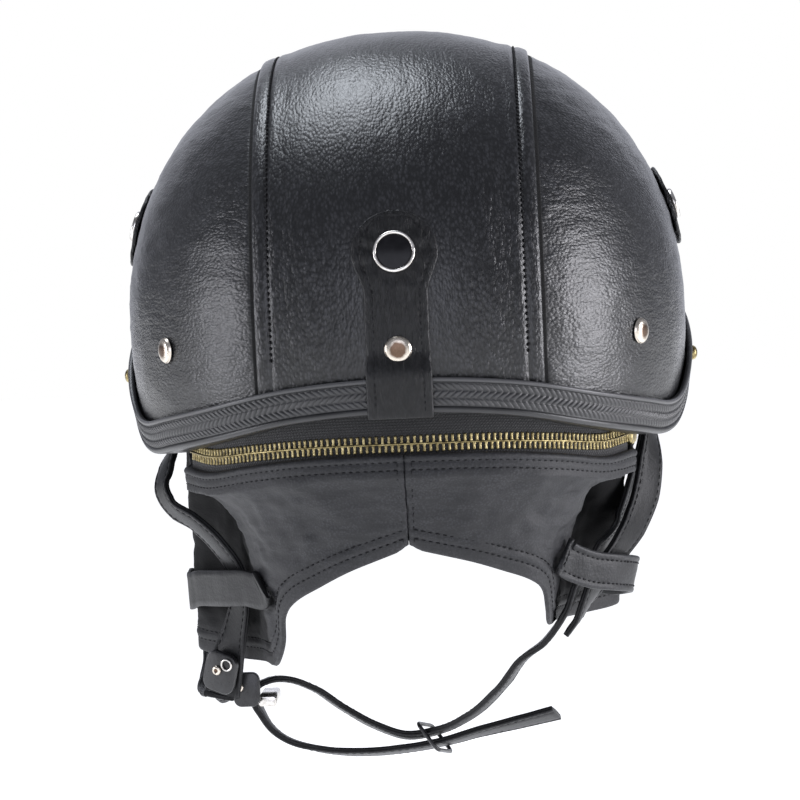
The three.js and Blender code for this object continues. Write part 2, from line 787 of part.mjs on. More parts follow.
function addBand(name, finish, end, bottom, top, near, far) {
  const sections = steps(20).map((share) => {
    const turn = mix(-end, end, share);
    const low = bottom(turn);
    const high = top(turn);
    return [
      zipPoint(turn, low, far),
      zipPoint(turn, low, near),
      zipPoint(turn, high, near),
      zipPoint(turn, high, far),
    ];
  });
  addLoft(name, finish, sections, false);
}

function addZip() {
  const end = radians(zipEndTurn);
  const half = chainHeight / 2;
  const middle = tapeThickness / 2;
  const near = middle - chainThickness / 2;
  const far = middle + chainThickness / 2;
  addBand('zip_tape_upper', 'tape', end, () => half + fit, () => half + fit + upperTapeHeight, 0, tapeThickness);
  addBand('zip_chain', 'brass', end, () => -half, () => half, near, far);
  addBand('zip_tape_lower', 'tape', end, () => -half - fit - lowerTapeHeight, () => -half - fit, 0, tapeThickness);
  const start = end + (fit + sliderLength / 2) / halfLength;
  const along = sliderLength / 2 / halfLength;
  const slider = [start - along, start + along].map((turn) => {
    const low = -sliderHeight / 2;
    const high = sliderHeight / 2;
    const shallow = middle - sliderThickness / 2 + chainThickness / 2;
    return [
      zipPoint(-turn, low, shallow + sliderThickness),
      zipPoint(-turn, low, shallow),
      zipPoint(-turn, high, shallow),
      zipPoint(-turn, high, shallow + sliderThickness),
    ];
  });
  addLoft('zip_slider', 'brass', slider, false);
}

const skirtTable = skirtRows.map((row, index) => ({ ...row, index }));

// A point in the middle of the skirt's leather: row along the hem, down from 0 to 1
function skirtPoint(side, row, down) {
  const read = (column) => readTable(skirtTable, 'index', column, row);
  const name = side > 0 ? 'left' : 'right';
  const turn = radians(read('turn'));
  const tucked = THREE.MathUtils.clamp(read('tucked'), 0, 1);
  const outside = tapeInset - hemGap - skirtThickness / 2;
  const inside = legInset + strapThickness + strapRoom + skirtThickness / 2;
  const inset = mix(outside, inside, Math.min(1, Math.max(0, (read('index') - 6) / 1.2)));
  const hem = besideShell(turn, rimLevel(turn), -inset);
  const open = zipLevel(turn) - hemDrop - hemDip * read('dip') * 0.5;
  hem.z = mix(open, rimLevel(turn) + hemTuck, tucked);
  const drop = mix(neckDrop, flapDrop[name], read('lobe'));
  const across = read('across') * halfWidth - flapFold[name] * read('folded');
  const edge = vector(across, read('back') * halfLength, widest - zipDrop - hemDrop - drop);
  const straight = hemHeight * Math.max(0, 1 - 2 * tucked) / (hem.z - edge.z);
  const sweep = Math.max(0, (down - straight) / (1 - straight)) ** read('sweep');
  return vector(side * mix(hem.x, edge.x, sweep), mix(hem.y, edge.y, sweep), mix(hem.z, edge.z, down));
}

function skirtNormal(side, row, down) {
  const nudge = 0.05;
  const last = skirtRows.length - 1;
  const along = skirtPoint(side, Math.min(row + nudge, last), down)
    .sub(skirtPoint(side, Math.max(row - nudge, 0), down));
  const fall = skirtPoint(side, row, Math.min(down + nudge, 1))
    .sub(skirtPoint(side, row, Math.max(down - nudge, 0)));
  return along.cross(fall).multiplyScalar(side).normalize();
}

function skirtFace(side, row, down, out) {
  const point = skirtPoint(side, row, down).addScaledVector(skirtNormal(side, row, down), out);
  if (side * point.x < fit / 2) {
    point.x = side * fit / 2;
  }
  return point;
}

function addSkirt(side) {
  const name = side > 0 ? 'skirt_left' : 'skirt_right';
  const last = skirtRows.length - 1;
  const rows = steps(18).map((share) => share * last);
  const columns = [0, 0.06, 0.15, 0.28, 0.44, 0.62, 0.81, 1];
  const grid = (out) => rows.map((row) => {
    return columns.map((down) => skirtFace(side, row, down, out));
  });
  addSlab(name, 'softLeather', grid(skirtThickness / 2), grid(-skirtThickness / 2));
}

function hang({ across, back, drop }) {
  return vector(across * halfWidth, back * halfLength, widest - drop * hangDepth);
}

// Frame of a strap: its middle, the way its flat faces and the way its width runs
function strapFrames(rows, count) {
  const path = new THREE.CatmullRomCurve3(rows.map(hang));
  return steps(count).map((share) => {
    const tangent = path.getTangent(share);
    const back = vector(0, 1, 0).addScaledVector(tangent, -tangent.y).normalize();
    const level = tangent.clone().cross(back);
    const place = share * (rows.length - 1);
    const index = Math.min(Math.floor(place), rows.length - 2);
    const twist = radians(mix(rows[index].twist, rows[index + 1].twist, place - index));
    const face = back.multiplyScalar(Math.cos(twist)).addScaledVector(level, Math.sin(twist));
    return { middle: path.getPoint(share), face, width: tangent.cross(face).normalize() };
  });
}

// The section of a flat band
function bandSection({ middle, face, width }, wide, thick) {
  const outline = [
    [-wide / 2, -thick / 2],
    [wide / 2, -thick / 2],
    [wide / 2, thick / 2],
    [-wide / 2, thick / 2],
  ];
  return outline.map(([along, up]) => {
    return middle.clone().addScaledVector(width, along).addScaledVector(face, up);
  });
}

function addStrap(name, rows, count) {
  const frames = strapFrames(rows, count);
  const sections = frames.map((frame) => bandSection(frame, strapWidth, strapThickness));
  addLoft(name, 'strapLeather', sections, false);
}

// A keeper is a short leather band, sewn to the flap at both ends, that a strap slides under
function addKeeper(side) {
  const name = side > 0 ? 'left' : 'right';
  const { from, span, to } = keeperRows[name];
  const rest = skirtThickness / 2 + keeperThickness / 2 + keeperRoom;
  const sewn = ({ rows, down }) => rows.map((row) => skirtFace(side, row, down, rest));
  const path = new THREE.CatmullRomCurve3([...sewn(from), ...span.map(hang), ...sewn(to)]);
  const fall = ({ rows, down }) => {
    const low = skirtPoint(side, rows[0], down + 0.05);
    return skirtPoint(side, rows[0], down - 0.05).sub(low).normalize();
  };
  const start = fall(from);
  const end = fall(to);
  const sections = steps(20).map((share) => {
    const tangent = path.getTangent(share);
    const up = start.clone().lerp(end, share);
    const width = up.addScaledVector(tangent, -tangent.dot(up)).normalize();
    const face = tangent.clone().cross(width).normalize();
    return bandSection({ middle: path.getPoint(share), face, width }, keeperHeight, keeperThickness);
  });
  addLoft(`keeper_${name}`, 'softLeather', sections, false);
}

// A flat plate with round corners. Its frame says where its back lies and the way it faces.
function addPlate(name, finish, { middle, face, width }, wide, high, deep) {
  const corner = Math.min(wide, high) * 0.3;
  const shape = new THREE.Shape();
  shape.absarc(wide / 2 - corner, high / 2 - corner, corner, 0, Math.PI / 2, false);
  shape.absarc(corner - wide / 2, high / 2 - corner, corner, Math.PI / 2, Math.PI, false);
  shape.absarc(corner - wide / 2, corner - high / 2, corner, Math.PI, 1.5 * Math.PI, false);
  shape.absarc(wide / 2 - corner, corner - high / 2, corner, 1.5 * Math.PI, 2 * Math.PI, false);
  const geometry = new THREE.ExtrudeGeometry(shape, { depth: deep, bevelEnabled: false, curveSegments: 3 });
  const position = geometry.getAttribute('position');
  const points = Array.from({ length: position.count }, (_, index) => {
    return new THREE.Vector3().fromBufferAttribute(position, index);
  });
  const triangles = Array.from({ length: position.count / 3 }, (_, face) => {
    return [face * 3, face * 3 + 1, face * 3 + 2];
  });
  const across = width.clone().negate();
  const basis = new THREE.Matrix4().makeBasis(across, face.clone().cross(across), face);
  const quaternion = new THREE.Quaternion().setFromRotationMatrix(basis);
  return addSolid(name, finish, points, triangles, { position: middle, quaternion });
}

// The frame moved out of its face, and along it by a share of the picture
function shifted({ middle, face, width }, across, up, out) {
  const rise = face.clone().cross(width).negate();
  const moved = middle.clone().addScaledVector(width, across).addScaledVector(rise, up);
  return { middle: moved.addScaledVector(face, out), face, width };
}

function addBuckle() {
  const stations = 100;
  const strap = strapFrames(strapRoutes.rearLeft, stations)[Math.round(upperPlateShare * stations)];
  const back = strapThickness / 2 + upperPlateRest;
  const upper = shifted(strap, 0, 0, back);
  addPlate('buckle_upper_plate', 'plastic', upper, upperPlateWidth, upperPlateHeight, plateThickness);
  const top = plateThickness + fit;
  const dome = domeProfile(buckleRivetRadius, buckleRivetHeight);
  const rivet = shifted(upper, 1, 1, top);
  addTurned('buckle_upper_rivet', 'nickel', dome, rivet.middle, rivet.face);
  const eyelet = shifted(upper, -3.2, 5, top);
  const loop = ringProfile(eyeletRadius, eyeletWire, eyeletWire);
  addTurned('buckle_eyelet', 'nickel', loop, eyelet.middle, eyelet.face);
  const nape = vector(0, 1, 0);
  const left = vector(1, 0, 0);
  const lower = { middle: hang(bucklePlaces.lowerPlate), face: nape, width: left };
  addPlate('buckle_lower_plate', 'plastic', lower, lowerPlateWidth, lowerPlateHeight, plateThickness);
  const pin = hang(bucklePlaces.lowerRivet).addScaledVector(nape, top);
  addTurned('buckle_lower_rivet', 'nickel', dome, pin, nape);
  const bar = { middle: hang(bucklePlaces.bar), face: nape, width: left };
  addPlate('buckle_bar', 'nickel', bar, barWidth, barHeight, barLength);
}

// A wire loop round both runs of the chin strap
function addRingKeeper() {
  const stations = 1000;
  const frames = strapFrames(strapRoutes.chin, stations);
  const upper = frames[Math.round(ringUpperShare * stations)];
  const lower = frames[Math.round(ringLowerShare * stations)];
  const width = upper.width.clone().add(lower.width).normalize();
  const rise = upper.middle.clone().sub(lower.middle);
  rise.addScaledVector(width, -rise.dot(width));
  const high = (rise.length() + strapThickness) / 2 + ringRoom + ringWire;
  const wide = strapWidth / 2 + ringRoom + ringWire;
  rise.normalize();
  const middle = upper.middle.clone().add(lower.middle).multiplyScalar(0.5);
  const along = width.clone().cross(rise);
  const sections = steps(20).slice(0, -1).map((share) => {
    const turn = share * 2 * Math.PI + 0.01;
    const out = width.clone().multiplyScalar(Math.cos(turn)).addScaledVector(rise, Math.sin(turn));
    const centre = middle.clone().addScaledVector(out, ringCorner);
    centre.addScaledVector(width, (wide - ringCorner) * Math.sign(Math.cos(turn)));
    centre.addScaledVector(rise, (high - ringCorner) * Math.sign(Math.sin(turn)));
    return steps(6).slice(0, -1).map((part) => {
      const angle = part * 2 * Math.PI;
      const point = centre.clone().addScaledVector(out, ringWire * Math.cos(angle));
      return point.addScaledVector(along, ringWire * Math.sin(angle));
    });
  });
  addLoft('ring_keeper', 'nickel', sections, true);
}

root.name = 'leather_helmet';
addShell();
addCentrePanel();
addSidePanel(1);
addSidePanel(-1);
addTrim();
addRearTab();
addSideTab(1);
addSideTab(-1);
addRivets(1);
addRivets(-1);
addZip();
addSkirt(1);
addSkirt(-1);
addStrap('strap_rear_left', strapRoutes.rearLeft, 20);
addStrap('strap_rear_right', strapRoutes.rearRight, 20);
addStrap('strap_front_left', strapRoutes.frontLeft, 20);
addStrap('chin_strap', strapRoutes.chin, 52);
addKeeper(1);
addKeeper(-1);
addBuckle();
addRingKeeper();

export default root;
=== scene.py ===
# %% [markdown]
# Leather half helmet, seen from behind.
# The helmet hangs with its brow to -Y and its nape to +Y, and the camera looks at the nape.
# A CAD model of it is loaded first and stays where it is. Every piece made here lies on that
# model, so its sizes are repeated below in millimetres and turned into metres only at the end.

# %% Load the frame
import json
import math
import bmesh
import bpy
import numpy as np
from mathutils import Matrix, Vector, noise

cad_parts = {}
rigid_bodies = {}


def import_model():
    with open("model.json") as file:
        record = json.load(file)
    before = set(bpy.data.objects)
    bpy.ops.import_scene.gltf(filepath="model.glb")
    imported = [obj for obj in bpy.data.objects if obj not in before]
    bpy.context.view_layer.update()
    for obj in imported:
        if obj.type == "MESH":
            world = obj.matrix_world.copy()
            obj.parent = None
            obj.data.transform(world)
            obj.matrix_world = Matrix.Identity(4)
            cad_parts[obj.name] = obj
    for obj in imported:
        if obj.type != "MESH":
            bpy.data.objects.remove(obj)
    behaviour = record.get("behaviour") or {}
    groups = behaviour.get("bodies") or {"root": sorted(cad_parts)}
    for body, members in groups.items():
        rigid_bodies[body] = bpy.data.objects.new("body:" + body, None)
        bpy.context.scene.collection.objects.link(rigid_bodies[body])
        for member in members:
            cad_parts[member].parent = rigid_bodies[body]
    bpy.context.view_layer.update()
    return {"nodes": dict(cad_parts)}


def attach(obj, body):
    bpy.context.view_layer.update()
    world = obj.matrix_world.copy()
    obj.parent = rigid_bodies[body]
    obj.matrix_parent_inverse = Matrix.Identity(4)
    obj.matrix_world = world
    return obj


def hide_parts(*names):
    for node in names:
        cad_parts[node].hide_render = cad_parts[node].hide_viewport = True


for stray in list(bpy.data.objects):
    bpy.data.objects.remove(stray)
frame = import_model()
print("frame nodes:", len(frame["nodes"]))

# %% [markdown]
# The photograph was taken from 1.2 m away, a little above the rim, with a long lens.
# A camera at that spot with the same lens gives the same outline. Its axes are worked out
# from the look direction, and a small roll tips the picture as the photograph is tipped.

# %% Camera at the photograph's place
MM = 0.001
LOOK_DISTANCE = 1200
LOOK_TURN = math.radians(1.95)
LOOK_RISE = math.radians(2.5)
LOOK_ROLL = math.radians(2.45)
LOOK_AT = np.array([5.0, 0.0, -131.9])
LENS = 122.985
SENSOR = 36


def camera_axes():
    """Right, up and back directions of the camera, as columns."""
    back = np.array([
        -math.sin(LOOK_TURN) * math.cos(LOOK_RISE),
        math.cos(LOOK_TURN) * math.cos(LOOK_RISE),
        math.sin(LOOK_RISE),
    ])
    right = np.cross(-back, [0, 0, 1])
    right /= np.linalg.norm(right)
    up = np.cross(right, -back)
    tilted_right = math.cos(LOOK_ROLL) * right - math.sin(LOOK_ROLL) * up
    tilted_up = math.sin(LOOK_ROLL) * right + math.cos(LOOK_ROLL) * up
    return tilted_right, tilted_up, back


def add_camera():
    right, up, back = camera_axes()
    data = bpy.data.cameras.new("photo_camera")
    data.lens = LENS
    data.sensor_width = SENSOR
    camera = bpy.data.objects.new("photo_camera", data)
    bpy.context.scene.collection.objects.link(camera)
    matrix = Matrix((right, up, back)).transposed().to_4x4()
    matrix.translation = Vector((LOOK_AT + LOOK_DISTANCE * back) * MM)
    camera.matrix_world = matrix
    bpy.context.scene.camera = camera


add_camera()
print("camera", [round(v, 3) for v in bpy.context.scene.camera.matrix_world.translation])

# %% [markdown]
# Black leather shows almost nothing of its own colour: what is seen are the lights in it.
# One could light it with a plain white sky, but then it turns grey all over. So the sky is
# pure white only where the camera sees it, and dim and a little blue where it lights.

# %% Studio sky
SKY_LIGHT = 0.32
SKY_TONE = (0.86, 0.89, 1)


def add_sky():
    """White to the camera, dim and cool to everything else."""
    world = bpy.data.worlds.new("studio_sky")
    bpy.context.scene.world = world
    world.use_nodes = True
    tree = world.node_tree
    tree.nodes.clear()
    seen = tree.nodes.new("ShaderNodeBackground")
    seen.inputs["Strength"].default_value = 1.0
    seen.inputs["Color"].default_value = (1, 1, 1, 1)
    lit = tree.nodes.new("ShaderNodeBackground")
    lit.inputs["Strength"].default_value = SKY_LIGHT
    lit.inputs["Color"].default_value = (*SKY_TONE, 1)
    path = tree.nodes.new("ShaderNodeLightPath")
    mix = tree.nodes.new("ShaderNodeMixShader")
    out = tree.nodes.new("ShaderNodeOutputWorld")
    tree.links.new(path.outputs["Is Camera Ray"], mix.inputs["Fac"])
    tree.links.new(lit.outputs[0], mix.inputs[1])
    tree.links.new(seen.outputs[0], mix.inputs[2])
    tree.links.new(mix.outputs[0], out.inputs["Surface"])


add_sky()
bpy.context.scene.view_settings.view_transform = "Standard"
print("sky lights at", SKY_LIGHT, "of white")

# %% [markdown]
# Large soft boxes give the long highlights of a studio picture. One hangs over the crown,
# one stands on each side, one beyond the brow and one behind the camera. A large box close
# by draws a broad soft band on the leather, and a small far one would only make a spot.

# %% Soft boxes
LIGHTS_AIM_AT = (0, 0, -120)
SOFT_BOXES = {
    "top_box": {"at": (230, -190, 950), "size": (640, 500), "power": 8.8, "tone": (0.88, 0.93, 1)},
    "left_box": {"at": (950, 150, -90), "size": (200, 520), "power": 3, "tone": (0.94, 0.94, 1)},
    "right_box": {"at": (-950, 120, -60), "size": (270, 560), "power": 7.2, "tone": (0.96, 0.95, 1)},
    "front_box": {"at": (0, -1000, 150), "size": (1300, 900), "power": 3.2, "tone": (0.88, 0.9, 1)},
    "nape_box": {"at": (0, 1400, 100), "size": (900, 700), "power": 4.2, "tone": (0.86, 0.88, 1)},
}


def add_soft_box(name, at, size, power, tone):
    """A lit rectangle with its place and size in millimetres, turned to the helmet."""
    data = bpy.data.lights.new(name, "AREA")
    data.shape = "RECTANGLE"
    data.size = size[0] * MM
    data.size_y = size[1] * MM
    data.energy = power
    data.color = tone
    light = bpy.data.objects.new(name, data)
    bpy.context.scene.collection.objects.link(light)
    place = Vector(at) * MM
    aim = Vector(LIGHTS_AIM_AT) * MM - place
    turned = aim.to_track_quat("-Z", "Y").to_matrix().to_4x4()
    light.matrix_world = Matrix.Translation(place) @ turned


for box_name, box in SOFT_BOXES.items():
    add_soft_box(box_name, **box)
print("lights:", ", ".join(SOFT_BOXES))

# %% [markdown]
# All pieces are meshes made from grids of points. The helpers here join a grid into faces,
# close a tube at both ends, and turn points and faces into an object that rides with the
# model. A mesh can also carry painted numbers for its material, such as where it is worn.

# %% Mesh helpers
SMALLEST_EDGE = 1e-7
made = {}


def unit(vectors):
    return vectors / np.maximum(np.linalg.norm(vectors, axis=-1, keepdims=True), 1e-9)


def blend_step(value, low, high):
    share = np.clip((np.asarray(value, float) - low) / (high - low), 0, 1)
    return share * share * (3 - 2 * share)


def grid_faces(rows, columns, ring_rows=False, ring_columns=False, start=0):
    """Four-sided faces of a grid of points. A ring closes on itself."""
    i, j = np.meshgrid(
        np.arange(rows if ring_rows else rows - 1),
        np.arange(columns if ring_columns else columns - 1),
        indexing="ij",
    )
    row = i * columns
    next_row = (i + 1) % rows * columns
    side = (j + 1) % columns
    quads = np.stack([row + j, row + side, next_row + side, next_row + j], -1)
    return quads.reshape(-1, 4) + start


def tube_faces(rings, corners, start=0):
    """Faces of a tube: rings joined one after another, with a flat cap on each end."""
    sides = grid_faces(rings, corners, ring_columns=True, start=start).tolist()
    first = list(range(start, start + corners))
    last = list(range(start + (rings - 1) * corners, start + rings * corners))
    return [*sides, first[::-1], last]


def travel(line):
    """Length along a line of points, from its start to each point."""
    steps = np.linalg.norm(np.diff(line, axis=0), axis=1)
    return np.concatenate([[0], np.cumsum(steps)])


def paint(mesh, name, values):
    """Stores one number or one triple for each point, for the materials to read."""
    values = np.asarray(values, np.float32)
    if values.ndim == 1:
        layer = mesh.attributes.new(name, "FLOAT", "POINT")
        layer.data.foreach_set("value", values)
    else:
        layer = mesh.attributes.new(name, "FLOAT_VECTOR", "POINT")
        layer.data.foreach_set("vector", values.ravel())


def add_piece(name, points, faces, material, stands_for=(), paints=None):
    """A finished object: points in millimetres, faces by number, riding with the helmet."""
    mesh = bpy.data.meshes.new(name)
    places = np.asarray(points, float).reshape(-1, 3) * MM
    mesh.from_pydata(places.tolist(), [], [list(face) for face in faces])
    for label, values in (paints or {}).items():
        paint(mesh, label, values)
    shape = bmesh.new()
    shape.from_mesh(mesh)
    bmesh.ops.dissolve_degenerate(shape, dist=SMALLEST_EDGE, edges=shape.edges)
    bmesh.ops.recalc_face_normals(shape, faces=shape.faces)
    shape.to_mesh(mesh)
    shape.free()
    mesh.shade_smooth()
    mesh.materials.append(material)
    piece = bpy.data.objects.new(name, mesh)
    bpy.context.scene.collection.objects.link(piece)
    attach(piece, "root")
    if stands_for:
        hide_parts(*stands_for)
    made[name] = len(mesh.polygons)
    return piece


print("mesh helpers ready")

# %% [markdown]
# Most of the helmet is thin sheet: leather, soft leather, woven tape. A solidify modifier
# would leave square edges, and cut leather has a soft round one. So a sheet is built from
# its middle surface: an outer and an inner skin, joined by a half round rim that is worn
# a little everywhere. Slow random waves keep the sheets from looking machined.

# %% Sheet helpers
RIM_PARTS = 4
RIM_WEAR = 0.2
WAVE_FALL = 0.6
SEED_SHIFT = np.array([17.3, 5.9, 31.7])


def sheet_mesh(middle, normal, thick):
    """Points and faces of a sheet with a round edge, from its middle surface."""
    rows, columns = middle.shape[:2]
    outer = middle + normal * thick / 2
    inner = middle - normal * thick / 2
    rim = [(0, j) for j in range(columns)]
    rim += [(i, columns - 1) for i in range(1, rows)]
    rim += [(rows - 1, j) for j in range(columns - 2, -1, -1)]
    rim += [(i, 0) for i in range(rows - 2, 0, -1)]
    at = np.array([i * columns + j for i, j in rim])
    edge = np.zeros((len(rim), 3))
    flat = middle.reshape(-1, 3)
    for k, (i, j) in enumerate(rim):
        away = np.zeros(3)
        if i in (0, rows - 1):
            away += unit(middle[i, j] - middle[1 if i == 0 else rows - 2, j])
        if j in (0, columns - 1):
            away += unit(middle[i, j] - middle[i, 1 if j == 0 else columns - 2])
        edge[k] = away
    edge = unit(edge)
    across = normal.reshape(-1, 3)[at]
    rings = []
    for part in range(1, RIM_PARTS):
        angle = math.pi * part / RIM_PARTS
        rings.append(flat[at] + thick / 2 * (across * math.cos(angle) + edge * math.sin(angle)))
    count = rows * columns
    points = np.concatenate([outer.reshape(-1, 3), inner.reshape(-1, 3)] + rings)
    faces = [grid_faces(rows, columns), grid_faces(rows, columns, start=count)[:, ::-1]]
    starts = [2 * count + part * len(rim) for part in range(RIM_PARTS - 1)]
    loops = [at, *[start + np.arange(len(rim)) for start in starts], at + count]
    for near, far in zip(loops, loops[1:]):
        faces.append(np.stack([near, far, np.roll(far, -1), np.roll(near, -1)], -1))
    return points, np.concatenate(faces), at


def add_sheet_piece(name, middle, normal, thick, material, slot, stands_for=(), **values):
    """A leather or cloth sheet as one object, its painted values carried round the edge."""
    points, faces, at = sheet_mesh(middle, normal, thick)
    paints = {}
    for label, value in values.items():
        shape = middle.shape if label == "lay" else middle.shape[:2]
        flat = np.broadcast_to(value, shape).reshape(len(middle) * middle.shape[1], -1)
        rim = np.maximum(flat[at], RIM_WEAR) if label == "worn" else flat[at]
        paints[label] = np.squeeze(np.concatenate([flat, flat] + [rim] * (RIM_PARTS - 1)))
    return add_piece(name, points, faces, material, stands_for, paints)


def grid_normals(surface):
    """Normals of a grid of points, from its own slopes."""
    return unit(np.cross(np.gradient(surface, axis=1), np.gradient(surface, axis=0)))


def waves(points, size, seed, depth=2):
    """Smooth random heights from -1 to 1 at points in millimetres. The seed shifts the field."""
    flat = np.asarray(points, float).reshape(-1, 3) / size + seed * SEED_SHIFT
    kind = {"noise_basis": "PERLIN_ORIGINAL"}
    heights = [noise.fractal(Vector(place), WAVE_FALL, 2.0, depth, **kind) for place in flat]
    return np.array(heights).reshape(np.asarray(points).shape[:-1])


print("sheet helpers ready, with", RIM_PARTS, "strips round an edge")

# %% [markdown]
# The dome is a super-ellipsoid: a little squarer than an egg. Its widest level lies low, and
# below it the sides draw in. The functions below give a point on the leather for a turn
# about the crown and a level, so that panels, tabs, studs and trim all sit on one surface.

# %% Shape of the dome
HALF_WIDTH = 121
HALF_LENGTH = 143
CROWN = 28
DOME_HEIGHT = 125
ROUNDNESS = 2.17
LOWER_TAPER = 147
WIDEST = CROWN - DOME_HEIGHT
LEATHER = 1.8
LEATHER_GAP = 0.6
HARD_SHELL = 5
FIT = 0.3


def shell_share(z):
    """Width at a level, as a share of the widest."""
    rise = np.asarray(z, float) - WIDEST
    below = np.sqrt(np.clip(1 - (rise / LOWER_TAPER) ** 2, 0, 1))
    share = np.clip(rise / DOME_HEIGHT, 0, 1)
    above = (1 - share ** ROUNDNESS) ** (1 / ROUNDNESS)
    return np.where(rise < 0, below, above)


def shell_normal(turn, z):
    rise = np.asarray(z, float) - WIDEST
    share = shell_share(z)
    above = (np.clip(rise, 0, None) / DOME_HEIGHT) ** (ROUNDNESS - 1) / DOME_HEIGHT
    upright = np.where(rise < 0, rise / LOWER_TAPER ** 2, above)
    wide = np.where(rise < 0, share, share ** (ROUNDNESS - 1))
    x = wide * np.sin(turn) / HALF_WIDTH
    y = wide * np.cos(turn) / HALF_LENGTH
    return unit(np.stack(np.broadcast_arrays(x, y, upright), -1))


def shell_point(turn, z, out=0.0):
    share = shell_share(z)
    x = HALF_WIDTH * share * np.sin(turn)
    y = HALF_LENGTH * share * np.cos(turn)
    point = np.stack(np.broadcast_arrays(x, y, np.asarray(z, float)), -1)
    return point + shell_normal(turn, z) * np.asarray(out, float)[..., None]


def turn_of(points):
    """Turn about the crown at which points lie."""
    return np.arctan2(points[..., 0] / HALF_WIDTH, points[..., 1] / HALF_LENGTH)


def level_away(turn):
    """Straight away from the dome, level with the ground."""
    x = np.sin(turn) / HALF_WIDTH
    y = np.cos(turn) / HALF_LENGTH
    return unit(np.stack(np.broadcast_arrays(x, y, 0.0), -1))


def beside_shell(turn, z, out):
    return shell_point(turn, z) + level_away(turn) * np.asarray(out, float)[..., None]


def table_curve(keys, values, at):
    """A smooth curve through one column of a table, level at both ends."""
    keys = np.asarray(keys, float)
    values = np.asarray(values, float)
    at = np.clip(np.asarray(at, float), keys[0], keys[-1])
    slopes = np.zeros(len(keys))
    slopes[1:-1] = (values[2:] - values[:-2]) / (keys[2:] - keys[:-2])
    index = np.searchsorted(keys[1:-1], at, side="left")
    span = keys[index + 1] - keys[index]
    t = (at - keys[index]) / span
    start = slopes[index] * span
    end = slopes[index + 1] * span
    cubic = 2 * (values[index] - values[index + 1]) + start + end
    square = 3 * (values[index + 1] - values[index]) - 2 * start - end
    return ((cubic * t + square) * t + start) * t + values[index]


print("widest level", WIDEST, "mm")

# %% [markdown]
# The rim is not level. It dips towards the rear corners, climbs over the ears and runs
# level across the brow. A short table of turns and drops holds that line.

# %% Shape of the rim
RIM_TURNS = [0, 20, 40, 55, 67, 77, 85, 94, 104, 120, 150, 180]
RIM_DROPS = [0.667, 0.72, 0.863, 0.951, 1, 0.935, 0.745, 0.47, 0.216, 0.08, -0.1, -0.18]
RIM_DROP = 51
TRIM_HEIGHT = 14
TRIM_PROUD = 3.5
TRIM_WEB = 2.6
EDGE_CLEARANCE = 1.2
TRIM_LEG_HEIGHT = 9
TRIM_LEG = 1.5
SLOPE_STEP = math.radians(1)


def rim_level(turn):
    degrees = np.abs(np.degrees(turn)) % 360
    return WIDEST - RIM_DROP * table_curve(RIM_TURNS, RIM_DROPS, np.minimum(degrees, 360 - degrees))


def rim_point(turn):
    return shell_point(turn, rim_level(turn))


def rim_tangent(turn):
    turn = np.asarray(turn, float)
    return unit(rim_point(turn + SLOPE_STEP) - rim_point(turn - SLOPE_STEP))


def trim_point(turn, up, out):
    """A point of the edge trim: up from the rim and out from the leather."""
    rise = unit(np.cross(rim_tangent(turn), level_away(turn)))
    rise = np.where(rise[..., 2:] < 0, -rise, rise)
    point = rim_point(turn) + rise * np.asarray(up, float)[..., None]
    return beside_shell(turn_of(point), point[..., 2], out)


def edge_level(turn):
    """Where the shell's own edge stands inside the trim."""
    tangent = rim_tangent(turn)
    level = np.hypot(tangent[..., 0], tangent[..., 1])
    return rim_level(turn) + (TRIM_WEB + EDGE_CLEARANCE) / level


def profile_level(angle):
    depth = np.where(np.asarray(angle) < 0, LOWER_TAPER, DOME_HEIGHT)
    return WIDEST + depth * np.sin(angle)


def profile_angle(z):
    depth = np.where(np.asarray(z) < WIDEST, LOWER_TAPER, DOME_HEIGHT)
    return np.arcsin(np.clip((z - WIDEST) / depth, -1, 1))


nape_level, corner_level = rim_level(np.radians([0, 67]))
print("rim at the nape", round(nape_level, 1), "and at the rear corner", round(corner_level, 1))

# %% [markdown]
# Every finish is a procedural material, read from the piece's own space, so it keeps its
# size from any side. Leather is built from the same few steps each time: a dark colour that
# wanders a little, a cell pattern for the pebbled grain, a slower noise for creases, and a
# bump of a tenth of a millimetre. Its colour is paler on the pebble tops and darker between
# the pebbles and in the creases: partly the grain's own tone, partly painted shade. Two
# painted values steer it. Worn marks the places that hands and buckles rub, where the
# leather turns paler. Deep is painted shade: it marks grooves, hidden strips and shaded
# places, where the leather turns black and dull.

# %% Material helpers
PER_METRE = 1000
WAVE_PERIOD = 0.314


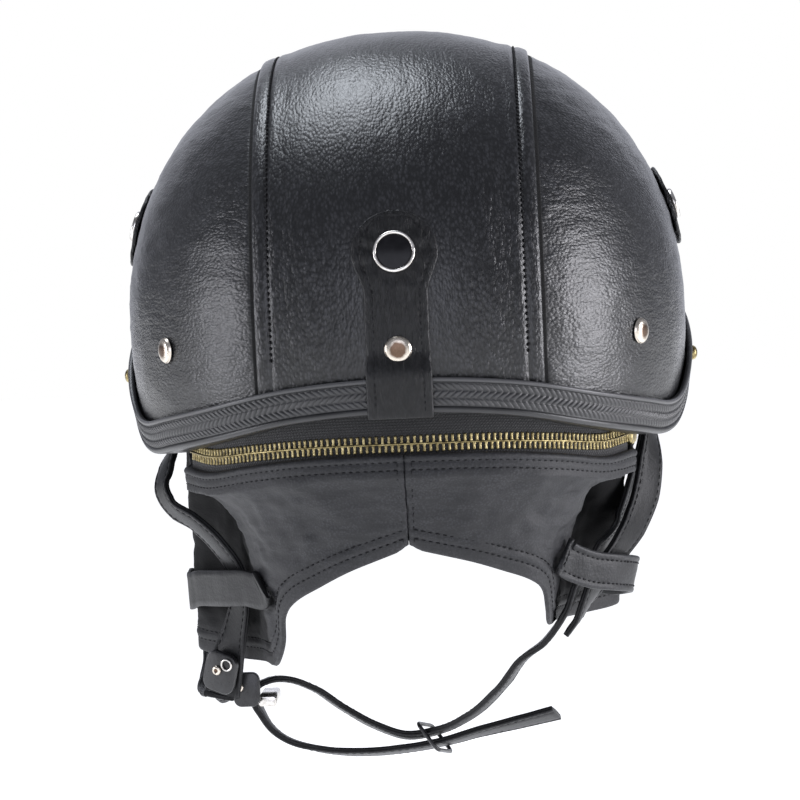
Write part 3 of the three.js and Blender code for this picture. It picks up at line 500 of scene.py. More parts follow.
class Finish:
    """Builds one material step by step."""

    def __init__(self, name, colour, rough, **sockets):
        self.material = bpy.data.materials.new(name)
        self.material.use_nodes = True
        self.tree = self.material.node_tree
        self.shader = self.tree.nodes["Principled BSDF"]
        self.shader.inputs["Base Color"].default_value = (*colour, 1)
        self.shader.inputs["Roughness"].default_value = rough
        for socket, value in sockets.items():
            self.shader.inputs[socket.replace("_", " ")].default_value = value
        self.material.diffuse_color = (*colour, 1)
        self.bump = None

    def node(self, kind, **values):
        made_node = self.tree.nodes.new(kind)
        for key, value in values.items():
            setattr(made_node, key, value)
        return made_node

    def link(self, start, end):
        self.tree.links.new(start, end)

    def space(self, stretch=(1, 1, 1), painted=None):
        """Coordinates in millimetres, stretched so that a larger number makes finer detail."""
        mapping = self.node("ShaderNodeMapping")
        mapping.inputs["Scale"].default_value = stretch
        if painted:
            source = self.node("ShaderNodeAttribute", attribute_name=painted).outputs["Vector"]
        else:
            source = self.node("ShaderNodeTexCoord").outputs["Object"]
            mapping.inputs["Scale"].default_value = [s * PER_METRE for s in stretch]
        self.link(source, mapping.inputs["Vector"])
        return mapping.outputs["Vector"]

    def noise(self, space, size, detail=3, rough=0.55, warp=0.0):
        texture = self.node("ShaderNodeTexNoise")
        texture.inputs["Scale"].default_value = 1 / size
        texture.inputs["Detail"].default_value = detail
        texture.inputs["Roughness"].default_value = rough
        texture.inputs["Distortion"].default_value = warp
        self.link(space, texture.inputs["Vector"])
        return texture.outputs["Fac"]

    def cells(self, space, size, smooth=0.4):
        """Rounded pebbles: high in the middle of a cell and low between cells."""
        texture = self.node("ShaderNodeTexVoronoi", feature="SMOOTH_F1")
        texture.inputs["Scale"].default_value = 1 / size
        texture.inputs["Smoothness"].default_value = smooth
        self.link(space, texture.inputs["Vector"])
        turned = self.node("ShaderNodeMath", operation="SUBTRACT")
        turned.inputs[0].default_value = 1
        self.link(texture.outputs["Distance"], turned.inputs[1])
        return turned.outputs[0]

    def stripes(self, space, size, axis="X", warp=0.0):
        """Bands of the given width. At scale 1 a wave texture repeats every WAVE_PERIOD."""
        texture = self.node("ShaderNodeTexWave", wave_type="BANDS", bands_direction=axis)
        texture.inputs["Scale"].default_value = WAVE_PERIOD / size
        texture.inputs["Distortion"].default_value = warp
        self.link(space, texture.inputs["Vector"])
        return texture.outputs["Fac"]

    def attribute(self, name):
        return self.node("ShaderNodeAttribute", attribute_name=name).outputs["Fac"]

    def remap(self, value, low, high, to_low, to_high):
        ranged = self.node("ShaderNodeMapRange")
        for index, number in enumerate((low, high, to_low, to_high), start=1):
            ranged.inputs[index].default_value = number
        self.link(value, ranged.inputs[0])
        return ranged.outputs[0]

    def combine(self, operation, first, second):
        joined = self.node("ShaderNodeMath", operation=operation)
        for index, value in enumerate((first, second)):
            if isinstance(value, (int, float)):
                joined.inputs[index].default_value = value
            else:
                self.link(value, joined.inputs[index])
        return joined.outputs[0]

    def colours(self, value, *stops):
        """Base colour from a value, by stops of (place, colour)."""
        ramp = self.node("ShaderNodeValToRGB")
        while len(ramp.color_ramp.elements) < len(stops):
            ramp.color_ramp.elements.new(0.5)
        for element, (place, colour) in zip(ramp.color_ramp.elements, stops):
            element.position = place
            element.color = (*colour, 1)
        self.link(value, ramp.inputs["Fac"])
        self.link(ramp.outputs["Color"], self.shader.inputs["Base Color"])

    def tint(self, worn, colour):
        """Moves the base colour towards another one where worn is 1."""
        blend = self.node("ShaderNodeMix", data_type="RGBA")
        source = self.shader.inputs["Base Color"].links[0].from_socket
        self.link(worn, blend.inputs["Factor"])
        self.link(source, blend.inputs["A"])
        blend.inputs["B"].default_value = (*colour, 1)
        self.link(blend.outputs["Result"], self.shader.inputs["Base Color"])

    def roughness(self, value, low, high):
        self.link(self.remap(value, 0, 1, low, high), self.shader.inputs["Roughness"])

    def dull(self, deep):
        """Raises the roughness where deep is near 1."""
        shine = self.shader.inputs["Roughness"].links[0].from_socket
        self.link(self.combine("MAXIMUM", shine, deep), self.shader.inputs["Roughness"])

    def relief(self, height, depth):
        """Adds one layer of bump, depth in millimetres."""
        bump = self.node("ShaderNodeBump")
        bump.inputs["Distance"].default_value = depth * MM
        bump.inputs["Strength"].default_value = 1
        self.link(height, bump.inputs["Height"])
        if self.bump:
            self.link(self.bump, bump.inputs["Normal"])
        self.bump = bump.outputs["Normal"]
        self.link(self.bump, self.shader.inputs["Normal"])


print("material helpers ready")

# %% [markdown]
# The dome's leather is cow hide with a pressed pebble of about a millimetre. On the centre
# panel it was pulled tight over the crown, so long faint streaks run from front to back.
# On the side panels it was gathered towards the ears, and the creases there lie across.

# %% Leathers
BLACK_HIDE = (0.005, 0.0052, 0.006)
GREY_HIDE = (0.024, 0.0246, 0.0275)
RUBBED_HIDE = (0.05, 0.05, 0.053)
PAINTED_SHADE_HIDE = (0.0006, 0.0006, 0.0007)
PATCH_SIZE = 26
PORE_SIZE = 0.35
PORE_DEPTH = 0.25


def hide(name, dark, pale, rough, pebble, pebble_depth, crease_stretch, crease_size, crease_depth,
         pebble_stretch=(1, 1, 1), gloss=0.5):
    """One kind of leather: its two colours, its shine, its pebbles and its creases."""
    finish = Finish(name, dark, rough[0], Specular_IOR_Level=gloss)
    plain = finish.space()
    drawn = finish.space(crease_stretch)
    patches = finish.noise(plain, PATCH_SIZE, detail=4)
    pebbles = finish.cells(finish.space(pebble_stretch), pebble, smooth=0.25)
    pores = finish.noise(plain, pebble * PORE_SIZE, detail=2)
    creases = finish.noise(drawn, crease_size, detail=5, rough=0.6, warp=0.4)
    # Colour: paler on the pebble tops and darker between the pebbles and in the creases, partly the
    # grain's own tone and partly painted shade.
    tops = finish.remap(pebbles, 0.3, 0.8, 0, 1)
    raised = finish.combine("MULTIPLY", tops, finish.remap(creases, 0.3, 0.6, 0.2, 1))
    finish.colours(finish.combine("MULTIPLY", patches, raised), (0.06, dark), (0.45, pale))
    rubbed = finish.remap(pebbles, 0.3, 0.9, 0.3, 1)
    finish.tint(finish.combine("MULTIPLY", finish.attribute("worn"), rubbed), RUBBED_HIDE)
    # Painted shade: where deep is 1 the hide is tinted to near black.
    deep = finish.attribute("deep")
    finish.tint(deep, PAINTED_SHADE_HIDE)
    shine = finish.combine("MULTIPLY", finish.combine("ADD", patches, pores), 0.5)
    finish.roughness(shine, *rough)
    finish.dull(deep)
    finish.relief(creases, crease_depth)
    finish.relief(pebbles, pebble_depth)
    finish.relief(pores, pebble_depth * PORE_DEPTH)
    return finish.material


centre_hide = hide(
    "centre_hide", BLACK_HIDE, GREY_HIDE, rough=(0.22, 0.4),
    pebble=1.1, pebble_depth=0.18, pebble_stretch=(1, 0.6, 0.6),
    crease_stretch=(1, 0.2, 0.26), crease_size=2.1, crease_depth=0.36,
)
side_hide = hide(
    "side_hide", BLACK_HIDE, GREY_HIDE, rough=(0.22, 0.41),
    pebble=1.05, pebble_depth=0.16, pebble_stretch=(0.6, 0.65, 1),
    crease_stretch=(0.22, 0.26, 1), crease_size=2.3, crease_depth=0.36,
)
tab_hide = hide(
    "tab_hide", (0.002, 0.0021, 0.0024), (0.007, 0.0072, 0.0082), rough=(0.26, 0.46), gloss=0.34,
    pebble=1.0, pebble_depth=0.14, pebble_stretch=(1, 0.6, 0.4),
    crease_stretch=(1, 0.3, 0.14), crease_size=1.5, crease_depth=0.8,
)
soft_hide = hide(
    "soft_hide", (0.011, 0.0113, 0.013), (0.024, 0.0245, 0.028), rough=(0.46, 0.66), gloss=0.36,
    pebble=0.95, pebble_depth=0.07,
    crease_stretch=(0.35, 0.35, 1), crease_size=3.0, crease_depth=0.35,
)
strap_hide = hide(
    "strap_hide", (0.004, 0.0042, 0.0048), (0.011, 0.0114, 0.013), rough=(0.34, 0.52), gloss=0.2,
    pebble=0.8, pebble_depth=0.06,
    crease_stretch=(0.4, 0.4, 0.4), crease_size=5.0, crease_depth=0.3,
)
keeper_hide = hide(
    "keeper_hide", (0.0065, 0.0068, 0.0078), (0.016, 0.0165, 0.019), rough=(0.38, 0.58), gloss=0.36,
    pebble=1.2, pebble_depth=0.08,
    crease_stretch=(0.3, 0.3, 1), crease_size=4.0, crease_depth=0.35,
)
print("leathers:", ", ".join(m.name for m in bpy.data.materials if "hide" in m.name))

# %% [markdown]
# The thread is black too, bonded and waxed, with a fine twist. It is kept dull, because a
# glossy bead as small as a stitch would sparkle white under the soft boxes.

# %% Thread
def waxed_thread():
    """Black bonded thread, with the fine twist of its strands."""
    finish = Finish("waxed_thread", (0.007, 0.007, 0.008), 0.6, Specular_IOR_Level=0.2)
    plain = finish.space()
    twist = finish.stripes(finish.space((1, 1, 1.4)), 0.28, "DIAGONAL")
    finish.colours(finish.noise(plain, 4), (0.3, (0.004, 0.004, 0.0045)), (0.75, (0.014, 0.014, 0.016)))
    finish.roughness(twist, 0.5, 0.75)
    finish.relief(twist, 0.05)
    return finish.material


thread = waxed_thread()
print("thread:", thread.name)

# %% [markdown]
# Inside, a hard shell is lined with foam and cloth. Little of it shows, only the rim of the
# lining from below, so it is one closed form turned round the dome: the outside of the
# shell, a recess for the trim's leg, and the smooth hollow for the head.

# %% Lining and hard shell
HEAD_WIDTH = 176
HEAD_LENGTH = 220
HEAD_ROOM = 97
LINING_LEVEL = 27
LINING_STEP = 3
LIP_FOOT = 1.2
LIP_RISE = 1.4
LIP_OUT = 1.012
LIP_IN = 0.99
CROWN_GAP = 0.004
HOLLOW_REACH = 0.998


def lining_cloth():
    """Brushed nylon over foam: a fine weave with a soft pile."""
    finish = Finish("lining_cloth", (0.016, 0.016, 0.017), 0.9, Sheen_Weight=0.35)
    plain = finish.space()
    weave = finish.combine("MULTIPLY", finish.stripes(plain, 0.5, "X"), finish.stripes(plain, 0.5, "Z"))
    pile = finish.noise(plain, 5, detail=5)
    finish.colours(pile, (0.3, (0.011, 0.011, 0.012)), (0.75, (0.028, 0.028, 0.03)))
    finish.roughness(pile, 0.8, 0.98)
    finish.relief(weave, 0.12)
    finish.relief(pile, 0.3)
    return finish.material


def lining_form(stations=144, outer_rows=36, inner_rows=40):
    turn = np.linspace(0, 2 * np.pi, stations, endpoint=False)[:, None]
    wall_out = -LEATHER - LEATHER_GAP
    wall_in = wall_out - HARD_SHELL
    low = profile_angle(edge_level(turn))
    down = np.linspace(CROWN_GAP, 1, outer_rows)[None, :]
    outer = shell_point(turn, profile_level(np.pi / 2 + (low - np.pi / 2) * down), wall_out)
    step = np.maximum(WIDEST - LINING_LEVEL, rim_level(turn) + TRIM_LEG_HEIGHT + LINING_STEP)
    recess = np.concatenate([
        beside_shell(turn, edge_level(turn), wall_in),
        beside_shell(turn, (edge_level(turn) + step) / 2, wall_in),
        beside_shell(turn, step, wall_in),
    ], axis=1)
    height = np.sin(np.linspace(0, HOLLOW_REACH, inner_rows)[None, :] * np.pi / 2)
    around = (1 - height ** ROUNDNESS) ** (1 / ROUNDNESS)
    wall = np.stack([HEAD_WIDTH / 2 * np.sin(turn), HEAD_LENGTH / 2 * np.cos(turn)], axis=-1)
    plan = wall * around[..., None]
    level = np.broadcast_to(WIDEST + HEAD_ROOM * height, (stations, inner_rows))
    hollow = np.concatenate([plan, level[..., None]], axis=-1)
    foot = np.broadcast_to((step - LIP_FOOT)[..., None], (stations, 1, 1))
    wall_foot = np.concatenate([wall, foot], axis=-1)
    lip_foot = wall_foot * [LIP_OUT, LIP_OUT, 1]
    lip_top = wall_foot * [LIP_IN, LIP_IN, 1] + [0, 0, LIP_RISE]
    sections = np.concatenate([outer, recess, lip_foot, lip_top, hollow], axis=1)
    rows = sections.shape[1]
    points = sections.reshape(-1, 3)
    faces = grid_faces(stations, rows, ring_rows=True)
    caps = [np.arange(stations) * rows, np.arange(stations)[::-1] * rows + rows - 1]
    return points, [*faces.tolist(), *[cap.tolist() for cap in caps]]


points, faces = lining_form()
add_piece("shell_and_lining", points, faces, lining_cloth(), ["padded_shell"])
print("shell_and_lining:", made["shell_and_lining"], "faces")

# %% [markdown]
# The leather is cut in three. The centre panel runs from brow to nape, and its long edges
# are folded under, laid over the side panels and sewn down. That gives the lap seam its
# look: a round fold with a painted shadow beside it, a flat strip, and a stitched groove
# with painted shade in it. The profile across the seam is a small table of heights, read
# for each point of the panel.

# %% Centre panel
PANEL_HALF = 56.5
SEAM_INSETS = [0, 0.5, 1.3, 3.0, 4.4, 5.2, 5.7, 6.1, 6.5, 7.1, 8.4, 11.5]
SEAM_HEIGHTS = [0.1, 0.95, 1.3, 1.25, 1.05, 0.65, 0.15, 0, 0.1, 0.45, 0.6, 0]
STITCH_INSET = 6.1
STREAK_DEPTH = 0.16
SAG_DEPTH = 0.28
FOLD_CREST = 1.5
FOLD_CREST_SPREAD = 1.3
FOLD_FOOT_SPREAD = 0.25
GROOVE_SPREAD = 0.5
FOLD_WEAR = 0.525
PANEL_ROWS = 230
SEAM_COLUMNS = [0, 0.12, 0.3, 0.55, 0.9, 1.4, 2.2, 3.2, 4.2, 4.8, 5.2, 5.6, 5.9, 6.15, 6.5, 6.9, 7.5, 8.4]
PLAIN_COLUMNS = np.linspace(9.8, PANEL_HALF, 26)


def panel_end(x, front):
    """Turn at which a line that lies x from the middle meets the shell's edge."""
    turn = np.arcsin(x / HALF_WIDTH)
    for _ in range(12):
        z = edge_level(np.pi - turn if front else turn)
        turn = np.arcsin(x / (HALF_WIDTH * shell_share(z)))
    return np.pi - turn if front else turn


def panel_line(x, share, out):
    """A point of the centre panel: x from the middle, share from nape to brow."""
    x, share = np.broadcast_arrays(np.asarray(x, float), np.asarray(share, float))
    wide = np.abs(x)
    ridge = np.sqrt(1 - (wide / HALF_WIDTH) ** ROUNDNESS)
    back = profile_angle(edge_level(panel_end(wide, False)))
    front = np.pi - profile_angle(edge_level(panel_end(wide, True)))
    angle = back + (front - back) * share
    folded = np.where(angle > np.pi / 2, np.pi - angle, angle)
    top = WIDEST + DOME_HEIGHT * ridge ** (2 / ROUNDNESS)
    z = np.where(folded < 0, profile_level(folded), WIDEST + (top - WIDEST) * np.sin(folded))
    limit = HALF_WIDTH * shell_share(np.minimum(z, top))
    side = np.arcsin(np.minimum(1, wide / limit)) * np.sign(x)
    return shell_point(np.where(angle > np.pi / 2, np.pi - side, side), z, out)


def above_trim(points):
    """How far each point lies above the top of the trim."""
    return points[..., 2] - rim_level(turn_of(points)) - TRIM_HEIGHT


def seam_height(x, points):
    inset = PANEL_HALF - np.abs(x)
    height = np.interp(inset, SEAM_INSETS, SEAM_HEIGHTS)
    return height * (0.25 + 0.75 * blend_step(above_trim(points), -1, 5))


insets = np.concatenate([SEAM_COLUMNS, PLAIN_COLUMNS])
across = np.concatenate([insets - PANEL_HALF, (PANEL_HALF - insets[:-1])[::-1]])
along = np.linspace(0, 1, PANEL_ROWS)
flat = panel_line(across[None, :], along[:, None], 0.0)
panel_normal = grid_normals(flat)
panel_normal *= np.sign(np.sum(panel_normal * (flat - [0, 0, WIDEST]), -1, keepdims=True))
streaks = waves(flat * [1, 0.12, 0.1], 7, 3, 3)
sag = waves(flat, 38, 5)
inset_grid = PANEL_HALF - np.abs(across)[None, :]
calm = blend_step(inset_grid, 5, 14)
height = seam_height(across[None, :], flat) + calm * (STREAK_DEPTH * streaks + SAG_DEPTH * sag)
patchy = 0.55 + 0.45 * waves(flat, 9, 8)
crest = np.exp(-((inset_grid - FOLD_CREST) / FOLD_CREST_SPREAD) ** 2)
fold_wear = np.clip(FOLD_WEAR * crest * patchy, 0, 1)
# Painted shadow: darker in the stitched groove and along the foot of the fold.
groove_shadow = 0.4 * np.exp(-((inset_grid - STITCH_INSET) / GROOVE_SPREAD) ** 2)
fold_shadow = 0.8 * np.exp(-(inset_grid / FOLD_FOOT_SPREAD) ** 2)
middle = flat + panel_normal * (height - LEATHER / 2)[..., None]
add_sheet_piece("centre_panel_leather", middle, panel_normal, LEATHER, centre_hide, "leather",
                ["centre_panel"], worn=fold_wear, deep=groove_shadow + fold_shadow)
print("centre_panel_leather:", made["centre_panel_leather"], "faces")

# %% [markdown]
# Stitches are short threads that come up, cross a few millimetres of leather and go down
# again. Each is made as a thin bead, a little arched, whose ends sink into the surface.
# One helper lays them along any line of points, so seams, hems, straps and keepers match.

# %% Stitch helper
BEAD_SIDES = 6
BEAD_SHARES = np.array([0.0, 0.12, 0.35, 0.65, 0.88, 1.0])
BEAD_WIDTHS = np.array([0.25, 0.75, 1.0, 1.0, 0.75, 0.25])
BEAD_RISE = np.array([-0.9, 0.1, 0.75, 0.75, 0.1, -0.9])
BEAD_REACH = 0.4


def along_line(line, pitch):
    """Places every pitch millimetres along a line, as numbers that interpolate its rows."""
    travelled = travel(line)
    count = max(int(travelled[-1] / pitch), 1)
    return np.interp((np.arange(count) + 0.5) * pitch, travelled, np.arange(len(line)))


def read_line(line, places):
    rows = np.arange(len(line))
    return np.stack([np.interp(places, rows, line[:, k]) for k in range(3)], -1)


def stitch_beads(line, normals, pitch, length, radius):
    """Points of one bead for each stitch of a line, a block of rings for each."""
    places = along_line(line, pitch)
    middle = read_line(line, places)
    up = unit(read_line(normals, places))
    run = unit(read_line(line, places + BEAD_REACH) - read_line(line, places - BEAD_REACH))
    side = unit(np.cross(run, up))
    angles = (np.arange(BEAD_SIDES) * 2 * np.pi / BEAD_SIDES)[None, :, None]
    ring = side[:, None, :] * np.cos(angles) + up[:, None, :] * np.sin(angles)
    spine = middle[:, None, :] + run[:, None, :] * ((BEAD_SHARES - 0.5) * length)[None, :, None]
    spine = spine + up[:, None, :] * (BEAD_RISE * radius)[None, :, None]
    widths = (BEAD_WIDTHS * radius)[None, :, None, None]
    return spine[:, :, None, :] + ring[:, None, :, :] * widths


def add_stitches(name, lines, slot, **sizes):
    """One piece with the stitches of several lines, each a pair of points and normals."""
    beads = np.concatenate([stitch_beads(line, normals, **sizes) for line, normals in lines])
    size = len(BEAD_SHARES) * BEAD_SIDES
    body = tube_faces(len(BEAD_SHARES), BEAD_SIDES)
    starts = range(0, len(beads) * size, size)
    faces = [[corner + start for corner in face] for start in starts for face in body]
    return add_piece(name, beads, faces, thread)


print("a stitch has", len(BEAD_SHARES), "rings")

# %% [markdown]
# The two lap seams are sewn along the groove beside the fold. The line of stitches follows
# the panel's own lines, so the thread lies in the groove from the nape to the brow.

# %% Lap seam stitches
SEAM_RUN = (0.045, 0.955)
SEAM_SAMPLES = 300
SEAM_THREAD_LIFT = 0.12


def seam_line(side):
    """The stitched groove of a lap seam, from one end of the panel to the other."""
    share = np.linspace(*SEAM_RUN, SEAM_SAMPLES)
    line = panel_line(side * (PANEL_HALF - STITCH_INSET), share, 0.0)
    up = shell_normal(turn_of(line), line[:, 2])
    return line + up * SEAM_THREAD_LIFT, up


seam_lines = [seam_line(1), seam_line(-1)]
add_stitches("lap_seam_stitches", seam_lines, "leather", pitch=2.4, length=1.6, radius=0.46)
print("lap_seam_stitches:", made["lap_seam_stitches"], "faces")

# %% [markdown]
# Each side panel narrows to nothing at its top, where the two seams pass over the side of
# the dome. Its edge lies flat under the fold and is painted with shade, so that a black
# shadow line shows beside the seam. The rest is given soft creases.

# %% Side panels
SIDE_CREASE = 0.3
SIDE_SAG = 0.3
SIDE_REST = 0.25
UNDER_FOLD = 3
TOP_OVERLAP = 1.2
LOW_CROWDING = 1.4
END_CROWDING = 0.93
SEAM_SHADOW_WIDTH = 1.3
NEARLY_ONE = 0.9999


def side_panel(side, rows=90, columns=160):
    """Middle surface, normals and shadow of a side panel. Its grid is crowded at both ends."""
    start = PANEL_HALF - UNDER_FOLD
    edge_share = (PANEL_HALF + FIT) / HALF_WIDTH
    top = WIDEST + DOME_HEIGHT * (1 - edge_share ** ROUNDNESS) ** (1 / ROUNDNESS) + TOP_OVERLAP
    up = (1 - (1 - np.linspace(0, 1, rows)) ** LOW_CROWDING)[:, None]
    even = np.linspace(0, 1, columns)[None, :]
    run = even - END_CROWDING * np.sin(2 * np.pi * even) / (2 * np.pi)
    turn = np.full((rows, columns), np.pi / 2)
    for _ in range(20):
        low = profile_angle(edge_level(turn))
        z = profile_level(low + (profile_angle(top) - low) * up)
        seam = np.arcsin(np.minimum(NEARLY_ONE, start / (HALF_WIDTH * shell_share(z))))
        turn = seam + (np.pi - 2 * seam) * run
    place = shell_point(side * turn, z, 0.0)
    normal = shell_normal(side * turn, z)
    creases = waves(place * [0.25, 0.25, 1], 5.5, 11 + side, 3)
    height = SIDE_CREASE * creases + SIDE_SAG * waves(place, 30, 14 + side) - SIDE_REST
    beyond = np.abs(place[..., 0]) - PANEL_HALF - LEATHER / 2
    shown = blend_step(beyond, 0, 1.6)
    height = np.minimum(height, -0.3) * (1 - shown) + height * shown
    # Painted shadow beside the seam: deep is 1 under the fold and fades out beyond it.
    deep = 1 - blend_step(beyond, SEAM_SHADOW_WIDTH * 0.3, SEAM_SHADOW_WIDTH)
    return place + normal * (height - LEATHER / 2)[..., None], normal, deep


for side, label in ((1, "left"), (-1, "right")):
    middle, normal, deep = side_panel(side)
    add_sheet_piece(f"side_panel_leather_{label}", middle, normal, LEATHER, side_hide, "leather",
                    [f"side_panel_{label}"], deep=deep)
print("side panels:", made["side_panel_leather_left"], "faces each")

# %% [markdown]
# The edge trim is one moulded strip pressed over the rim. Its face imitates plaiting: three
# rows of short slanted strands that together read as a row of arrow heads, with a smooth
# roll below and a thin bright lip above. A bump map would look flat from the side, so the
# strands are real. The trick is the grid: its lines slant along with the strands, so each
# ridge follows a line of points and stays crisp.

# %% Trim section
TRIM_ROLL = 1.35
BAND_SINK = 0.9
BAND_LOW = 2.9
BAND_HIGH = 12.0
BAND_COUNT = 3
BAND_STEPS = 6
BAND_ROUNDNESS = 2.6
TRIM_INSIDE = -LEATHER - LEATHER_GAP - HARD_SHELL - FIT
TRIM_REST = LEATHER_GAP + FIT


def trim_section():
    """Points of the trim's section: out, up, slant of the grid and share of strand relief."""
    band = (BAND_HIGH - BAND_LOW) / BAND_COUNT
    rows = [
        (TRIM_INSIDE - TRIM_LEG, TRIM_LEG_HEIGHT, 0, 0),
        (TRIM_INSIDE - TRIM_LEG, 4, 0, 0),
        (TRIM_INSIDE - TRIM_LEG, 0.9, 0, 0),
        (TRIM_INSIDE - TRIM_LEG * 0.5, 0, 0, 0),
    ]
    for part in range(7):
        angle = -math.pi / 2 + math.pi * part / 6
        out = TRIM_PROUD + TRIM_ROLL * (math.cos(angle) - 1)
        rows.append((out, TRIM_ROLL * (1 + math.sin(angle)), band, 0))
    rows.append((TRIM_PROUD - BAND_SINK, BAND_LOW - 0.05, band, 0))
    for number in range(BAND_COUNT):
        for part in range(BAND_STEPS + 1):
            share = part / BAND_STEPS
            lean = 1 - share if number % 2 == 0 else share
            relief = (1 - abs(2 * share - 1) ** BAND_ROUNDNESS) ** (1 / BAND_ROUNDNESS)
            up = BAND_LOW + band * (number + share)
            rows.append((TRIM_PROUD - BAND_SINK - 0.05, up, band * lean, relief))
    lip = (TRIM_HEIGHT - BAND_HIGH) / 2
    for part in range(6):
        angle = -math.pi / 2 + math.pi * part / 5
        out = TRIM_PROUD - BAND_SINK + lip * 0.8 * math.cos(angle)
        rows.append((out, BAND_HIGH + lip + lip * math.sin(angle), 0, 0))
    rows += [
        (TRIM_REST, TRIM_HEIGHT, 0, 0),
        (TRIM_REST, TRIM_WEB, 0, 0),
        (TRIM_INSIDE, TRIM_WEB, 0, 0),
        (TRIM_INSIDE, TRIM_LEG_HEIGHT, 0, 0),
    ]
    return np.array(rows)


print("trim section:", len(trim_section()), "points")

# %% [markdown]
# The section is carried round the rim in even steps. Each point is moved back along the rim
# by its slant, and every few steps make one strand. The tops are painted worn, so the
# moulded pattern shows as pale ridges between dark grooves, as rubbed vinyl does.

# %% Edge trim
STRAND_PITCH = 2.75
STRAND_POINTS = 6
STRAND_HEIGHT = 0.75
STRAND_ROUNDNESS = 2.2
STRAND_WEAR = 1.6
WORN_ABOVE = 0.75
LIP_WEAR = 0.85


def rim_turns(samples=1440):
    """Turns round the rim, and the length along the rim up to each."""
    turn = np.linspace(0, 2 * np.pi, samples + 1)
    return turn, travel(trim_point(turn, TRIM_HEIGHT / 2, TRIM_PROUD))


def add_trim():
    turn, travelled = rim_turns()
    girth = travelled[-1]
    strands = round(girth / STRAND_PITCH)
    stations = strands * STRAND_POINTS
    start = np.arange(stations) / stations * girth
    out, up, slant, relief = trim_section().T[:, None, :]
    at = np.interp((start[:, None] - slant + girth) % girth, travelled, turn)
    phase = (np.arange(stations) % STRAND_POINTS) / STRAND_POINTS
    ridge = (1 - np.abs(2 * phase - 1) ** STRAND_ROUNDNESS) ** (1 / STRAND_ROUNDNESS)
    strand = ridge[:, None] * relief
    points = trim_point(at, np.broadcast_to(up, at.shape), out + strand * STRAND_HEIGHT)
    worn = np.clip(strand - WORN_ABOVE, 0, 1) * STRAND_WEAR
    worn = np.where(up > BAND_HIGH + 0.6, LIP_WEAR, worn) * (out > TRIM_REST)
    faces = grid_faces(stations, out.shape[1], ring_rows=True, ring_columns=True)
    paints = {"worn": worn.ravel()}
    add_piece("edge_trim_plaited", points, faces, trim_vinyl, ["edge_trim"], paints)
    print("edge_trim_plaited:", strands, "strands round", round(girth), "mm")


def moulded_vinyl():
    """Soft moulded vinyl, greyer where it stands out and is rubbed."""
    finish = Finish("moulded_vinyl", (0.012, 0.012, 0.013), 0.42)
    plain = finish.space()
    patches = finish.noise(plain, 18, detail=4)
    grit = finish.noise(plain, 0.35, detail=3)
    finish.colours(patches, (0.3, (0.009, 0.0092, 0.01)), (0.72, (0.022, 0.0225, 0.024)))
    finish.tint(finish.attribute("worn"), (0.06, 0.06, 0.063))
    finish.roughness(finish.combine("MULTIPLY", finish.combine("ADD", patches, grit), 0.5), 0.26, 0.5)
    finish.relief(grit, 0.05)
    return finish.material


trim_vinyl = moulded_vinyl()
add_trim()

# %% [markdown]
# A leather tab closes the nape, another each side. Each is a strip with one round end and
# a sewn edge, held down by a press stud with a broad gloss cap and a second small stud.
# The strip follows the dome and, at the nape, climbs over the trim. So it is drawn flat
# first, by a length along it and a width across, and then laid on the dome.

# %% Tab outline
TAB_RADIUS = 16
TAB_NECK = 23
TAB_THICKNESS = 1.6
REAR_TAB_LENGTH = 78
SIDE_TAB_LENGTH = 60
STUD_SPACING = 37
REAR_STUD_RISE = 28
SIDE_STUD_RISE = 45
SIDE_TAB_TURN = 92
REAR_TAB_TOP = WIDEST + REAR_STUD_RISE + TAB_RADIUS


def tab_half(along):
    along = np.asarray(along, float)
    round_end = np.sqrt(np.clip(TAB_RADIUS ** 2 - (TAB_RADIUS - along) ** 2, 0, None))
    neck = TAB_RADIUS + (TAB_NECK / 2 - TAB_RADIUS) * blend_step(along, TAB_RADIUS, 2 * TAB_RADIUS)
    return np.where(along < TAB_RADIUS, round_end, neck)


def rear_tab_place(along, across, out):
    z = REAR_TAB_TOP - np.asarray(along, float)
    turn = np.arcsin(across / (HALF_WIDTH * shell_share(z)))
    return shell_point(turn, z, out)


def rear_tab_lift(along):
    above = REAR_TAB_TOP - along - rim_level(0.0) - TRIM_HEIGHT
    return (TRIM_PROUD + FIT) * (1 - blend_step(above, 0.5, 11))


def side_tab_place(side):
    level = WIDEST + SIDE_STUD_RISE

    def place(along, across, out):
        forward = (np.asarray(along, float) - TAB_RADIUS) / (HALF_LENGTH * shell_share(level))
        return shell_point(side * (math.radians(SIDE_TAB_TURN) + forward), level + across, out)

    return place


def no_lift(along):
    return 0 * np.asarray(along, float)


print("a tab narrows from", 2 * TAB_RADIUS, "to", TAB_NECK, "mm")

# %% [markdown]
# Where the cap pulls on the tab the leather gathers. So uneven shallow puckers spread from
# the stud and fade out, the middle is pressed in, and the line of stitches lies in a groove.

# %% Tabs
TAB_STITCH_INSET = 2.4
TAB_GROOVE = 0.2
PUCKER_DEPTH = 0.36
PUCKER_DISTANCE = 11.5
PUCKER_SPREAD = 2.6
DISH_DEPTH = 0.5
DISH_RADIUS = 9.5
TAB_LIFT = 0.35
TAB_RIPPLE = 0.18
TAB_EDGE_WEAR = 0.3


def tab_relief(along, across, half, seed):
    """Pressed edge, dish and puckers of a tab."""
    inset = np.minimum(half - np.abs(across), along * 0.9 + 0.2)
    groove = -TAB_GROOVE * np.exp(-((inset - TAB_STITCH_INSET) / 0.5) ** 2)
    far = np.hypot(across, along - TAB_RADIUS)
    turn = np.arctan2(across, along - TAB_RADIUS)
    uneven = 0.7 + 0.3 * np.sin(3 * turn + seed)
    gathers = uneven * np.sin(9 * turn + seed + 1.3 * np.sin(2 * turn + seed))
    puckers = PUCKER_DEPTH * gathers * np.exp(-((far - PUCKER_DISTANCE) / PUCKER_SPREAD) ** 2)
    return groove + puckers - DISH_DEPTH * np.exp(-(far / DISH_RADIUS) ** 4)


